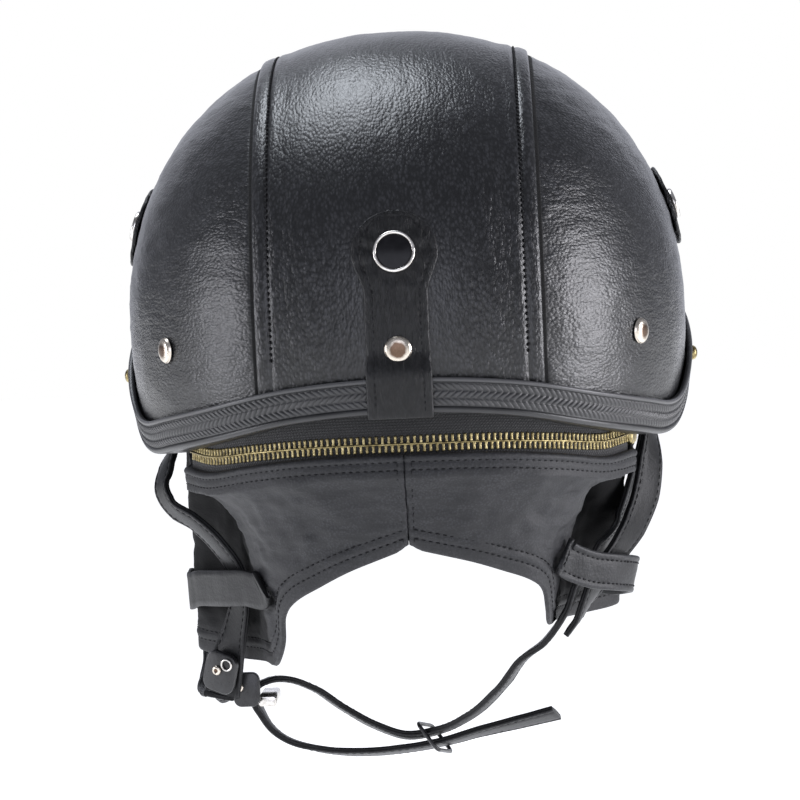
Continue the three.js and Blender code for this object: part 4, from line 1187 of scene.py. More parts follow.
def add_tab(name, node, length, place, lift, seed):
    ends = TAB_RADIUS * (1 - np.cos(np.linspace(0.06, 1, 24) * np.pi / 2))
    along = np.concatenate([ends, np.linspace(TAB_RADIUS, length, 56)[1:]])[:, None]
    share = np.sin(np.linspace(-1, 1, 47) * np.pi / 2)[None, :]
    half = tab_half(along)
    across = share * half
    along = along + 0 * across
    out = FIT + TAB_THICKNESS / 2 + lift(along)
    flat = place(along, across, out)
    up = unit(place(along, across, out + 1) - flat)
    relief = tab_relief(along, across, half, seed)
    height = TAB_LIFT + relief + TAB_RIPPLE * waves(flat, 4.5, seed, 3)
    inset = half - np.abs(across)
    worn = TAB_EDGE_WEAR * np.exp(-(inset / 0.7) ** 2) * (0.5 + 0.5 * waves(flat, 6, seed + 1))
    add_sheet_piece(name, flat + up * height[..., None], up, TAB_THICKNESS, tab_hide, "leather",
                    [node], worn=worn)


def tab_stitch_line(place, lift, length):
    """The line of stitches that follows the tab's outline."""
    run = np.linspace(TAB_STITCH_INSET, TAB_RADIUS, 26)
    straight = np.linspace(TAB_RADIUS, length - 1.5, 60)[1:]
    along = np.concatenate([run, straight])
    inner = TAB_RADIUS - TAB_STITCH_INSET
    ring = np.sqrt(np.clip(inner ** 2 - (TAB_RADIUS - along) ** 2, 0, None))
    half = np.where(along < TAB_RADIUS, ring, tab_half(along) - TAB_STITCH_INSET)
    along = np.concatenate([along[::-1], along[1:]])
    across = np.concatenate([-half[::-1], half[1:]])
    out = FIT + TAB_THICKNESS + 0.06 + lift(along)
    points = place(along, across, out)
    return points, unit(place(along, across, out + 1) - points)


tab_lines = []
add_tab("rear_tab_leather", "rear_tab", REAR_TAB_LENGTH, rear_tab_place, rear_tab_lift, 21)
tab_lines.append(tab_stitch_line(rear_tab_place, rear_tab_lift, REAR_TAB_LENGTH))
for side, label in ((1, "left"), (-1, "right")):
    place = side_tab_place(side)
    add_tab(f"side_tab_leather_{label}", f"side_tab_{label}", SIDE_TAB_LENGTH, place, no_lift, 23 + side)
    tab_lines.append(tab_stitch_line(place, no_lift, SIDE_TAB_LENGTH))
add_stitches("tab_stitches", tab_lines, "leather", pitch=2.6, length=1.9, radius=0.2)
print("tabs sewn with", made["tab_stitches"], "faces of thread")

# %% [markdown]
# The fittings are nickel plate, warm nickel and old brass, and the broad caps have a black
# face that is a painted dark reflection. A metal needs little colour of its own, only the
# tint of its reflections. What makes it look handled is an uneven film and fine rubbing
# marks, which change the roughness from place to place.

# %% Metal finishes
def polished_nickel():
    """Nickel plate with fine rubbing marks and a warm film in its hollows."""
    finish = Finish("polished_nickel", (0.62, 0.6, 0.56), 0.16, Metallic=1.0)
    plain = finish.space()
    film = finish.noise(plain, 3, detail=4)
    rubs = finish.noise(finish.space((1, 0.1, 1)), 0.25, detail=3)
    finish.colours(film, (0.3, (0.42, 0.39, 0.35)), (0.62, (0.72, 0.7, 0.67)))
    finish.roughness(finish.combine("MULTIPLY", finish.combine("ADD", film, rubs), 0.5), 0.08, 0.3)
    finish.relief(rubs, 0.012)
    return finish.material


def warm_nickel():
    """A small domed stud of warm nickel, browner and darker towards its middle."""
    finish = Finish("warm_nickel", (0.45, 0.36, 0.27), 0.24, Metallic=1.0)
    plain = finish.space()
    film = finish.noise(plain, 1.6, detail=4)
    brown = finish.combine("MULTIPLY", finish.attribute("worn"), 0.6)
    brown = finish.combine("ADD", finish.combine("MULTIPLY", film, 0.4), brown)
    finish.colours(brown, (0.25, (0.66, 0.6, 0.52)), (0.62, (0.13, 0.085, 0.06)))
    finish.roughness(film, 0.15, 0.4)
    finish.relief(film, 0.02)
    return finish.material


def aged_brass():
    """Brass gone dull and brown between the places that rub."""
    finish = Finish("aged_brass", (0.45, 0.33, 0.16), 0.34, Metallic=1.0)
    plain = finish.space()
    film = finish.noise(plain, 2.4, detail=5, rough=0.65)
    dark, middle, rubbed = (0.12, 0.094, 0.046), (0.3, 0.245, 0.118), (0.62, 0.53, 0.29)
    finish.colours(film, (0.34, dark), (0.52, middle), (0.74, rubbed))
    finish.roughness(film, 0.24, 0.5)
    finish.relief(film, 0.05)
    return finish.material


def cap_face_painted_reflection():
    """Black face of the broad caps: a painted dark reflection, with its shine kept low."""
    finish = Finish("cap_face_painted_reflection", (0.006, 0.006, 0.007), 0.1, Specular_IOR_Level=0.16)
    plain = finish.space()
    dust = finish.noise(plain, 4, detail=5)
    finish.colours(dust, (0.3, (0.004, 0.004, 0.005)), (0.8, (0.012, 0.012, 0.014)))
    finish.roughness(dust, 0.06, 0.2)
    finish.relief(dust, 0.01)
    return finish.material


nickel = polished_nickel()
warm_stud = warm_nickel()
brass = aged_brass()
dark_reflection_black = cap_face_painted_reflection()
print("metal finishes ready")

# %% [markdown]
# Caps, rivets and studs are turned parts. Their profile is a short table of radii and
# heights, spun round the way out of the leather. A spin of 64 steps keeps the chrome ring
# smooth, because a mirror shows every flat.

# %% Turned parts
SPIN = 64


def spin_profile(profile, at, away):
    """Points of a profile of (radius, height) spun round a direction."""
    away = unit(np.asarray(away, float))
    guide = np.array([0, 0, 1.0]) if abs(away[2]) < 0.9 else np.array([1.0, 0, 0])
    side = unit(np.cross(guide, away))
    up = np.cross(away, side)
    angles = np.arange(SPIN) * 2 * np.pi / SPIN
    ring = side * np.cos(angles)[:, None] + up * np.sin(angles)[:, None]
    profile = np.asarray(profile, float)
    return at + ring[None] * profile[:, None, :1] + away * profile[:, None, 1:]


def add_turned(name, profile, at, away, material, node, closed_ring=False, worn=None):
    points = spin_profile(profile, at, away)
    if closed_ring:
        faces = grid_faces(len(profile), SPIN, ring_rows=True, ring_columns=True)
    else:
        faces = tube_faces(len(profile), SPIN)
    paints = {"worn": np.repeat(worn, SPIN)} if worn is not None else None
    return add_piece(name, points, faces, material, [node], paints)


def dome_curve(radius, height, flange=0.0):
    """Profile of a domed head, with a small flange if wanted."""
    angles = np.linspace(0, np.pi / 2, 14)
    crown = [(radius * math.cos(a) ** 0.8, height * (0.22 + 0.78 * math.sin(a))) for a in angles[:-1]]
    foot = [(radius * 0.9, -0.2), (radius + flange, 0.0), (radius + flange, height * 0.12)]
    return foot + crown + [(0.05, height)]


def ring_curve(radius, width, height):
    """Profile of a rounded ring, closed on itself."""
    angles = np.linspace(0, 2 * np.pi, 20, endpoint=False)
    middle = radius - width / 2
    return [(middle + width / 2 * math.cos(a), height / 2 + height / 2 * math.sin(a)) for a in angles]


def disc_curve(radius, height, crown):
    """Profile of a flat cap with a soft edge and a slightly raised middle."""
    rows = [(radius * 0.96, 0), (radius, height * 0.3), (radius, height * 0.75), (radius * 0.96, height)]
    shares = np.linspace(0.9, 0, 7)
    return rows + [(max(radius * s, 0.05), height + crown * (1 - s * s)) for s in shares]


print("a domed head has", len(dome_curve(5, 2)), "rings")

# %% [markdown]
# Each tab is held by a broad cap and a small stud. The cap is two pieces: a bright ring
# and a black face inside it, which is a painted dark reflection standing in for a mirror face.
# The small stud is browner in the middle, so its worn value runs from the rim to the crown.

# %% Press studs
RING_RADIUS = 8.3
RING_WIDTH = 1.5
RING_HEIGHT = 2.2
STUD_INSERT_HEIGHT = 1.4
SIDE_STUD_RADIUS = 7
SMALL_STUD_RADIUS = 5.3
SMALL_STUD_HEIGHT = 1.6
ON_TAB = FIT + TAB_THICKNESS + 2 * FIT


def add_press_stud(prefix, radius, at, away):
    ring = ring_curve(radius, RING_WIDTH, RING_HEIGHT)
    add_turned(f"{prefix}_cap_ring", ring, at, away, nickel, f"{prefix}_ring", closed_ring=True)
    insert = disc_curve(radius - RING_WIDTH * 0.8, STUD_INSERT_HEIGHT, 0.25)
    # The black face is a painted dark reflection.
    add_turned(f"{prefix}_cap_face", insert, at, away, dark_reflection_black, f"{prefix}_insert")


def add_small_stud(name, at, away, node):
    profile = dome_curve(SMALL_STUD_RADIUS * 0.92, SMALL_STUD_HEIGHT, SMALL_STUD_RADIUS * 0.08)
    radii = np.array(profile)[:, 0] / SMALL_STUD_RADIUS
    # Browner and darker towards the crown of the stud.
    worn = 1 - blend_step(radii, 0.35, 0.8)
    add_turned(name, profile, at, away, warm_stud, node, worn=worn)


def way_out(place, along):
    return unit(place(along, 0.0, 1.0) - place(along, 0.0, 0.0))


def add_tab_studs(prefix, suffix, radius, place):
    """The cap at a tab's round end and the small stud on its neck."""
    near = TAB_RADIUS
    far = TAB_RADIUS + STUD_SPACING
    add_press_stud(f"{prefix}_stud{suffix}", radius, place(near, 0.0, ON_TAB), way_out(place, near))
    add_small_stud(f"{prefix}_small_stud_dome{suffix}", place(far, 0.0, ON_TAB), way_out(place, far),
                   f"{prefix}_small_stud{suffix}")


add_tab_studs("rear", "", RING_RADIUS, rear_tab_place)
for side, label in ((1, "left"), (-1, "right")):
    add_tab_studs("side", f"_{label}", SIDE_STUD_RADIUS, side_tab_place(side))
print("press studs:", sum("stud" in name for name in made), "pieces")

# %% [markdown]
# Rivets through the shell hold the straps, and their heads show on the leather, two at the
# rear and two in front. A brass stud pins the trim over each ear.

# %% Strap rivets and rim studs
STRAP_RIVET_RADIUS = 5
STRAP_RIVET_HEIGHT = 1.7
RIVET_DROP = 7
REAR_RIVET_TURN = 53
FRONT_RIVET_TURN = 122
FRONT_RIVET_LIFT = 34
BRASS_STUD_RADIUS = 3.2
BRASS_STUD_HEIGHT = 3
BRASS_STUD_TURN = 93
TRIM_GROOVE = 0.6

RIVET_SPOTS = {
    "rear": (REAR_RIVET_TURN, WIDEST - RIVET_DROP),
    "front": (FRONT_RIVET_TURN, WIDEST - RIVET_DROP + FRONT_RIVET_LIFT),
}
rivet_curve = dome_curve(STRAP_RIVET_RADIUS, STRAP_RIVET_HEIGHT * 1.25, 0.3)
rivet_browner_middle = 0.8 * (1 - blend_step(np.array(rivet_curve)[:, 0] / STRAP_RIVET_RADIUS, 0.3, 0.85))
brass_curve = dome_curve(BRASS_STUD_RADIUS, BRASS_STUD_HEIGHT)
for side, label in ((1, "left"), (-1, "right")):
    for end, (degrees, level) in RIVET_SPOTS.items():
        turn = side * math.radians(degrees)
        at, away = shell_point(turn, level, FIT), shell_normal(turn, level)
        add_turned(f"{end}_rivet_dome_{label}", rivet_curve, at, away, warm_stud,
                   f"{end}_rivet_{label}", worn=rivet_browner_middle)
    turn = side * math.radians(BRASS_STUD_TURN)
    at = trim_point(turn, TRIM_HEIGHT / 2, TRIM_PROUD - TRIM_GROOVE + FIT)
    add_turned(f"rim_stud_{label}", brass_curve, at, level_away(turn), brass,
               f"brass_stud_{label}")
print("rivets and rim studs:", sum("rivet" in name or "rim_stud" in name for name in made), "pieces")

# %% [markdown]
# A coarse metal zip joins the neck skirt to the rim. Its line follows the inside of the
# trim, sags a little towards the rear corners and ends below the ears. All parts of the
# zip are placed from this one line.

# %% Zip line
ZIP_TURNS = [0, 20, 36, 50, 62]
ZIP_DIPS = [0, 0.12, 0.55, 1, 0.75]
ZIP_DROP = 46.6
ZIP_DIP = 5
ZIP_END = math.radians(62)
TOOTH_PITCH = 2.5
CHAIN_HEIGHT = 6.8
CHAIN_THICKNESS = 2.6
TAPE_THICKNESS = 1
UPPER_TAPE_HEIGHT = 13
LOWER_TAPE_HEIGHT = 7
LEG_INSET = LEATHER + LEATHER_GAP + HARD_SHELL + FIT + TRIM_LEG
TAPE_INSET = LEG_INSET + FIT + (CHAIN_THICKNESS - TAPE_THICKNESS) / 2


def zip_level(turn):
    return WIDEST - ZIP_DROP - ZIP_DIP * table_curve(ZIP_TURNS, ZIP_DIPS, np.abs(np.degrees(turn)))


def zip_point(turn, up, deep):
    point = beside_shell(turn, rim_level(turn), -TAPE_INSET - np.asarray(deep, float))
    point[..., 2] = zip_level(turn) + up
    return point


def zip_turns(pitch, end=ZIP_END):
    """Turns at even steps along the zip."""
    turn = np.linspace(-end, end, 600)
    travelled = travel(zip_point(turn, 0.0, 0.0))
    count = int(travelled[-1] / pitch)
    start = (travelled[-1] - (count - 1) * pitch) / 2
    return np.interp(start + np.arange(count) * pitch, travelled, turn), travelled[-1]


zip_length = zip_turns(TOOTH_PITCH)[1]
print("zip length", round(zip_length), "mm")

# %% [markdown]
# The tapes are woven cotton. The weave has to run along the tape, not straight through
# space, so each point is painted with its length along the tape and its height on it, and
# the material reads its ribs from there. The two tapes meet behind the teeth.

# %% Zip tapes
TAPE_RIPPLE = 0.12
TAPE_PARTING = 0.02


def woven_tape():
    """Cotton tape in a herringbone weave, dull and slightly furry."""
    finish = Finish("woven_tape", (0.012, 0.012, 0.013), 0.85, Sheen_Weight=0.25)
    laid = finish.space(painted="lay")
    ribs = finish.stripes(laid, 0.7, "DIAGONAL", warp=0.6)
    rows = finish.stripes(laid, 1.1, "Y", warp=0.4)
    weave = finish.combine("MULTIPLY", ribs, rows)
    fluff = finish.noise(finish.space(), 1.2, detail=5)
    fibres = finish.combine("MULTIPLY", weave, fluff)
    finish.colours(fibres, (0.1, (0.009, 0.009, 0.0095)), (0.6, (0.034, 0.034, 0.036)))
    finish.roughness(fluff, 0.75, 0.95)
    finish.relief(weave, 0.22)
    finish.relief(fluff, 0.08)
    return finish.material


tape_cloth = woven_tape()


def add_tape(name, node, low, high, rows=12, columns=260):
    up = np.linspace(low, high, rows)[:, None]
    turn = np.linspace(-ZIP_END, ZIP_END, columns)[None, :]
    middle = zip_point(turn, up, TAPE_THICKNESS / 2 + 0 * up)
    normal = level_away(turn) + 0 * up[..., None]
    run = np.linspace(0, zip_length, columns)[None, :]
    lay = np.stack(np.broadcast_arrays(run, up, 0.0), -1)
    ripple = TAPE_RIPPLE * waves(middle, 9, 31)
    add_sheet_piece(name, middle + normal * ripple[..., None], normal, TAPE_THICKNESS, tape_cloth, "tape",
                    [node], lay=lay)


chain_half = CHAIN_HEIGHT / 2
meeting = TAPE_THICKNESS / 2 + TAPE_PARTING
add_tape("zip_tape_upper_woven", "zip_tape_upper", meeting, chain_half + FIT + UPPER_TAPE_HEIGHT, 18)
add_tape("zip_tape_lower_woven", "zip_tape_lower", -chain_half - FIT - LOWER_TAPE_HEIGHT, -meeting)
print("tapes:", made["zip_tape_upper_woven"] + made["zip_tape_lower_woven"], "faces")

# %% [markdown]
# A metal zip is two rows of small cast teeth, each clamped on its tape and set half a pitch
# apart so that their heads lock. The teeth are real here: one block with bevelled corners
# is copied along the zip's line, every second one upside down, and a thin bright bead
# runs where the heads lock.

# %% Zip teeth
TOOTH_WIDTH = 1.3
TOOTH_END_GAP = 0.004
LOCK_RADIUS = 0.42
LOCK_PROUD = 0.07


def tooth_shape():
    """One tooth: across the zip, away from the middle, and out, in millimetres."""
    levels = [-0.35, 0.0, 0.5, 1.3, 2.3, 3.0, chain_half]
    widths = [0.62, 1.0, 1.05, 0.78, 0.86, 1.0, 0.8]
    depths = [0.55, 0.85, 1.0, 0.86, 0.92, 1.0, 0.72]
    corners = np.array([
        [-0.5, -0.32], [-0.32, -0.5], [0.32, -0.5], [0.5, -0.32],
        [0.5, 0.32], [0.32, 0.5], [-0.32, 0.5], [-0.5, 0.32],
    ])
    rows = []
    for level, width, depth in zip(levels, widths, depths):
        across = corners[:, 0] * TOOTH_WIDTH * width
        out = corners[:, 1] * CHAIN_THICKNESS * depth
        rows.append(np.stack([across, np.full(8, level), out], -1))
    return np.array(rows)


def add_teeth():
    turns, _ = zip_turns(TOOTH_PITCH / 2, ZIP_END - TOOTH_END_GAP)
    shape = tooth_shape()
    rows, corners = shape.shape[:2]
    points = []
    faces = []
    for number, turn in enumerate(turns):
        way = 1 if number % 2 else -1
        centre = zip_point(turn, 0.0, TAPE_THICKNESS / 2)
        run = unit(zip_point(turn + 0.002, 0.0, TAPE_THICKNESS / 2) - centre)
        out = level_away(turn)
        rise = unit(np.cross(run, out))
        rise = rise if rise[2] > 0 else -rise
        local = centre + shape[..., :1] * run + shape[..., 1:2] * rise * way + shape[..., 2:] * out
        points.append(local.reshape(-1, 3))
        faces += tube_faces(rows, corners, start=number * rows * corners)
    add_piece("zip_teeth", np.concatenate(points), faces, brass, ["zip_chain"])
    print("zip_teeth:", len(turns), "teeth")


def add_zip_bead(stations=400, corners=8):
    """The thin line where the heads of the teeth lock."""
    turn = np.linspace(-ZIP_END + TOOTH_END_GAP, ZIP_END - TOOTH_END_GAP, stations)
    angles = np.arange(corners) * 2 * np.pi / corners
    centre = zip_point(turn, 0.0, TAPE_THICKNESS / 2)
    proud = CHAIN_THICKNESS / 2 + LOCK_PROUD + LOCK_RADIUS * np.sin(angles)
    ring = centre[:, None] + level_away(turn)[:, None] * proud[None, :, None]
    ring = ring + np.array([0, 0, LOCK_RADIUS]) * np.cos(angles)[None, :, None]
    add_piece("zip_lock_line", ring, tube_faces(stations, corners), brass)


add_teeth()
add_zip_bead()

# %% [markdown]
# The slider waits at the right end of the zip, almost hidden by the trim: a small body of
# cast brass, square with round corners, with a waist in its middle.

# %% Zip slider
SLIDER_LENGTH = 9
SLIDER_HEIGHT = 9.5
SLIDER_THICKNESS = 5


def add_slider(stations=14, corners=20):
    angles = (np.arange(corners) + 0.5) * 2 * np.pi / corners
    square = (np.abs(np.cos(angles)) ** 4 + np.abs(np.sin(angles)) ** 4) ** -0.25
    start = -ZIP_END - (FIT + SLIDER_LENGTH) / HALF_LENGTH
    points = []
    for share in np.linspace(0, 1, stations):
        waist = 0.82 + 0.18 * math.cos(2 * math.pi * share) ** 2
        end = min(1, 0.6 + 4 * min(share, 1 - share))
        turn = start + SLIDER_LENGTH / HALF_LENGTH * share
        up = SLIDER_HEIGHT / 2 * waist * end * square * np.sin(angles)
        out = SLIDER_THICKNESS / 2 * end * square * np.cos(angles)
        points.append(zip_point(np.full(corners, turn), up, TAPE_THICKNESS / 2 - out))
    faces = tube_faces(stations, corners)
    add_piece("zip_slider_body", np.concatenate(points), faces, brass, ["zip_slider"])


add_slider()
print("zip_slider_body:", made["zip_slider_body"], "faces")

# %% [markdown]
# The neck skirt is garment leather: soft, matt, almost cloth. Its two halves are sewn
# together down the nape and each ends in an ear flap that hangs lower and folds inwards.
# Its middle surface comes from the same table as the CAD solid: for each row along the
# hem, where it hangs from, how far it falls and how the flap folds.

# %% Skirt surface
SKIRT_COLUMNS = ("turn", "dip", "tucked", "across", "back", "lobe", "sweep", "folded")
SKIRT_ROWS = [
    (0, 0, 0, 0, 0.79, 0, 0.8, 0),
    (17, 0.1, 0, 0.19, 0.757, 0.16, 0.8, 0),
    (33, 0.4, 0, 0.31, 0.703, 0.3, 0.7, 0),
    (46, 0.8, 0, 0.396, 0.65, 0.42, 0.5, 0),
    (55, 1, 0, 0.44, 0.598, 0.56, 0.38, 0),
    (60, 1, 0, 0.452, 0.545, 0.8, 0.34, 0),
    (63, 1, 0, 0.478, 0.49, 0.96, 0.32, 0.25),
    (70, 0.9, 0.02, 0.5, 0.42, 1, 0.32, 0.4),
    (78, 0.5, 0.5, 0.545, 0.27, 1.02, 0.33, 0.6),
    (85, 0, 1, 0.665, 0.13, 1.03, 0.34, 0.9),
    (92, 0, 1, 0.8, 0.01, 1, 0.36, 1),
    (100, 0, 1, 0.79, -0.09, 0.94, 0.5, 1),
    (106, 0, 1, 0.775, -0.16, 0.84, 0.7, 1),
]
SKIRT_THICKNESS = 2.2
HEM_DROP = 4.8
HEM_DIP = 5
HEM_TUCK = 8
HEM_HEIGHT = 8
HEM_GAP = 0.8
NECK_DROP = 37
FLAP_DROP = {1: 89, -1: 76}
FLAP_FOLD = {1: 0, -1: 11}
STRAP_THICKNESS = 2.6
STRAP_ROOM = 2.8


def skirt_point(side, row, down):
    """A point in the middle of the leather: row along the hem, down from 0 to 1."""
    row, down = np.broadcast_arrays(np.asarray(row, float), np.asarray(down, float))
    keys = np.arange(len(SKIRT_ROWS))
    table = dict(zip(SKIRT_COLUMNS, zip(*SKIRT_ROWS)))
    read = {name: table_curve(keys, values, row) for name, values in table.items()}
    turn = np.radians(read["turn"])
    tucked = np.clip(read["tucked"], 0, 1)
    outside = TAPE_INSET - HEM_GAP - SKIRT_THICKNESS / 2
    inside = LEG_INSET + STRAP_THICKNESS + STRAP_ROOM + SKIRT_THICKNESS / 2
    inset = outside + (inside - outside) * np.clip((row - 6) / 1.2, 0, 1)
    hem = beside_shell(turn, rim_level(turn), -inset)
    opened = zip_level(turn) - HEM_DROP - HEM_DIP * read["dip"] * 0.5
    hem_z = opened + (rim_level(turn) + HEM_TUCK - opened) * tucked
    drop = NECK_DROP + (FLAP_DROP[side] - NECK_DROP) * read["lobe"]
    edge_x = read["across"] * HALF_WIDTH - FLAP_FOLD[side] * read["folded"]
    edge_y = read["back"] * HALF_LENGTH
    edge_z = WIDEST - ZIP_DROP - HEM_DROP - drop
    straight = HEM_HEIGHT * np.maximum(0, 1 - 2 * tucked) / (hem_z - edge_z)
    sweep = np.maximum(0, (down - straight) / (1 - straight)) ** read["sweep"]
    x = side * (hem[..., 0] + (edge_x - hem[..., 0]) * sweep)
    y = hem[..., 1] + (edge_y - hem[..., 1]) * sweep
    return np.stack([x, y, hem_z + (edge_z - hem_z) * down], -1)


def skirt_normal(side, row, down):
    nudge = 0.05
    last = len(SKIRT_ROWS) - 1
    next_row, row_before = np.minimum(row + nudge, last), np.maximum(row - nudge, 0)
    lower, higher = np.minimum(down + nudge, 1), np.maximum(down - nudge, 0)
    along = skirt_point(side, next_row, down) - skirt_point(side, row_before, down)
    fall = skirt_point(side, row, lower) - skirt_point(side, row, higher)
    return unit(np.cross(along, fall)) * side


def skirt_face(side, row, down, out):
    """A point out from the skirt's middle surface, kept on its own side of the nape."""
    point = skirt_point(side, row, down) + skirt_normal(side, row, down) * out
    point[..., 0] = np.where(side * point[..., 0] < FIT / 2, side * FIT / 2, point[..., 0])
    return point


print("skirt hangs to", round(float(skirt_point(1, 8.0, 1.0)[2])), "mm")

# %% [markdown]
# On that surface the leather gets what soft leather has: long shallow wrinkles, a folded
# hem on top, pressed lines under the stitches and a rolled edge. At the nape the halves
# are pushed together until their round edges touch, and the valley in front of each ear
# flap is painted deep, because little light reaches it.

# %% Skirt halves
SEAM_ROWS = [0, 0.12, 0.18, 0.23, 0.28, 0.33, 0.38, 0.44, 0.51]
HEM_STITCHES = (2.2, 5.4)
EDGE_STITCHES = (4.6, 8.8)
SEAM_STITCH = 3.2
SEAM_STITCH_ROW = 0.22
SEAM_EDGE = 1.03
SEAM_BLEND = 6
VALLEY_ROWS = (5.9, 6.6, 11, 13)
VALLEY_DROPS = (0.03, 0.1, 0.82, 1.1)
VALLEY_SHADE = 0.9
WRINKLE_SIZE = 7
WRINKLE_DEPTH = 0.75
SLACK_SIZE = 24
SLACK_DEPTH = 1.5
HEM_GROOVE = 0.28
EDGE_GROOVE = 0.32
SEAM_GROOVE = 0.3
HEM_FOLD = 0.45
EDGE_ROLL = 0.4
SEAM_POINT = 1.1


def skirt_lengths(side, row, samples=200):
    """Length down the leather at each row, from the hem to each share."""
    down = np.linspace(0, 1, samples)
    line = skirt_point(side, np.asarray(row)[:, None], down[None, :])
    steps = np.linalg.norm(np.diff(line, axis=1), axis=2)
    return down, np.concatenate([np.zeros((len(row), 1)), np.cumsum(steps, axis=1)], axis=1)


def skirt_relief(side, place, from_hem, from_edge, from_seam):
    """Wrinkles and pressed lines of the skirt, as heights in millimetres."""
    long_wrinkles = waves(place * [0.22, 0.22, 1], WRINKLE_SIZE, 41 + side, 3)
    slack = waves(place, SLACK_SIZE, 43 + side, 3)
    calm = blend_step(from_hem, 4, 12) * blend_step(from_edge, 4, 14)
    height = calm * (WRINKLE_DEPTH * long_wrinkles + SLACK_DEPTH * slack * blend_step(from_seam, 0, 18))
    for inset in HEM_STITCHES:
        height = height - HEM_GROOVE * np.exp(-((from_hem - inset) / 0.6) ** 2)
    for inset in EDGE_STITCHES:
        height = height - EDGE_GROOVE * np.exp(-((from_edge - inset) / 0.7) ** 2)
    height = height - SEAM_GROOVE * np.exp(-((from_seam - SEAM_STITCH) / 0.7) ** 2)
    height = height + HEM_FOLD * np.exp(-((from_hem - 0.9) / 1.1) ** 2)
    height = height + EDGE_ROLL * np.exp(-((from_edge - 6.7) / 1.5) ** 2)
    return height


def skirt_half(side, label):
    last = len(SKIRT_ROWS) - 1
    row = np.concatenate([SEAM_ROWS, np.linspace(0.6, last, 150)])
    hem_rows, edge_rows = np.linspace(0, 0.16, 19)[:-1], np.linspace(0.86, 1, 20)[1:]
    down = np.concatenate([hem_rows, np.linspace(0.16, 0.86, 46), edge_rows])
    shares, lengths = skirt_lengths(side, row)
    from_hem = np.stack([np.interp(down, shares, line) for line in lengths])
    whole = lengths[:, -1:]
    middle = skirt_point(side, row[:, None], down[None, :])
    normal = skirt_normal(side, row[:, None], down[None, :])
    from_seam = np.abs(middle[..., 0])
    height = skirt_relief(side, middle, from_hem, whole - from_hem, from_seam)
    place = middle + normal * height[..., None]
    beside_seam = np.maximum(side * place[..., 0], 0)
    place[..., 0] = side * (beside_seam + SEAM_EDGE * np.exp(-beside_seam / SEAM_BLEND))
    point_lift = np.exp(-(from_seam / 2.4) ** 2) * blend_step(down, 0.93, 1)[None, :]
    place[..., 2] += SEAM_POINT * point_lift
    worn = 0.35 * np.exp(-((whole - from_hem) / 1.2) ** 2) + 0.25 * np.exp(-(from_hem / 1.0) ** 2)
    first, full, fading, over = VALLEY_ROWS
    valley = blend_step(row, first, full) * (1 - blend_step(row, fading, over))
    first, full, fading, over = VALLEY_DROPS
    depth = blend_step(down, first, full) * (1 - blend_step(down, fading, over))
    deep = VALLEY_SHADE * valley[:, None] * depth[None, :]
    add_sheet_piece(f"skirt_soft_{label}", place, normal, SKIRT_THICKNESS, soft_hide, "soft_leather",
                    [f"skirt_{label}"], worn=worn, deep=deep)
    return row, shares, lengths


def skirt_stitch_line(side, row, shares, lengths, inset, from_edge):
    """A line of stitches at a distance from the hem or from the lower edge."""
    target = lengths[:, -1] - inset if from_edge else np.full(len(row), float(inset))
    down = np.array([np.interp(t, line, shares) for t, line in zip(target, lengths)])
    keep = row > 0.12
    place = skirt_face(side, row[keep], down[keep], SKIRT_THICKNESS / 2 - 0.28)
    return place, skirt_normal(side, row[keep], down[keep])


skirt_lines = []
for side, label in ((1, "left"), (-1, "right")):
    row, shares, lengths = skirt_half(side, label)
    for inset in HEM_STITCHES:
        skirt_lines.append(skirt_stitch_line(side, row, shares, lengths, inset, False))
    for inset in EDGE_STITCHES:
        skirt_lines.append(skirt_stitch_line(side, row, shares, lengths, inset, True))
    down = np.linspace(0.05, 0.97, 60)
    row = np.full(60, SEAM_STITCH_ROW)
    seam = skirt_face(side, row, down, SKIRT_THICKNESS / 2 - 0.25)
    skirt_lines.append((seam, skirt_normal(side, row, down)))
add_stitches("skirt_stitches", skirt_lines, "soft_leather", pitch=3.0, length=2.1, radius=0.26)
print("skirt halves:", made["skirt_soft_left"], "faces each, stitches:", made["skirt_stitches"])

# %% [markdown]
# The straps hang freely, so each is drawn as a route: a row of points from its anchor to its
# end, each with the turn of the strap there. The curve goes through the same points as the
# CAD strap, by the same centripetal spline, which passes close bends without loops.

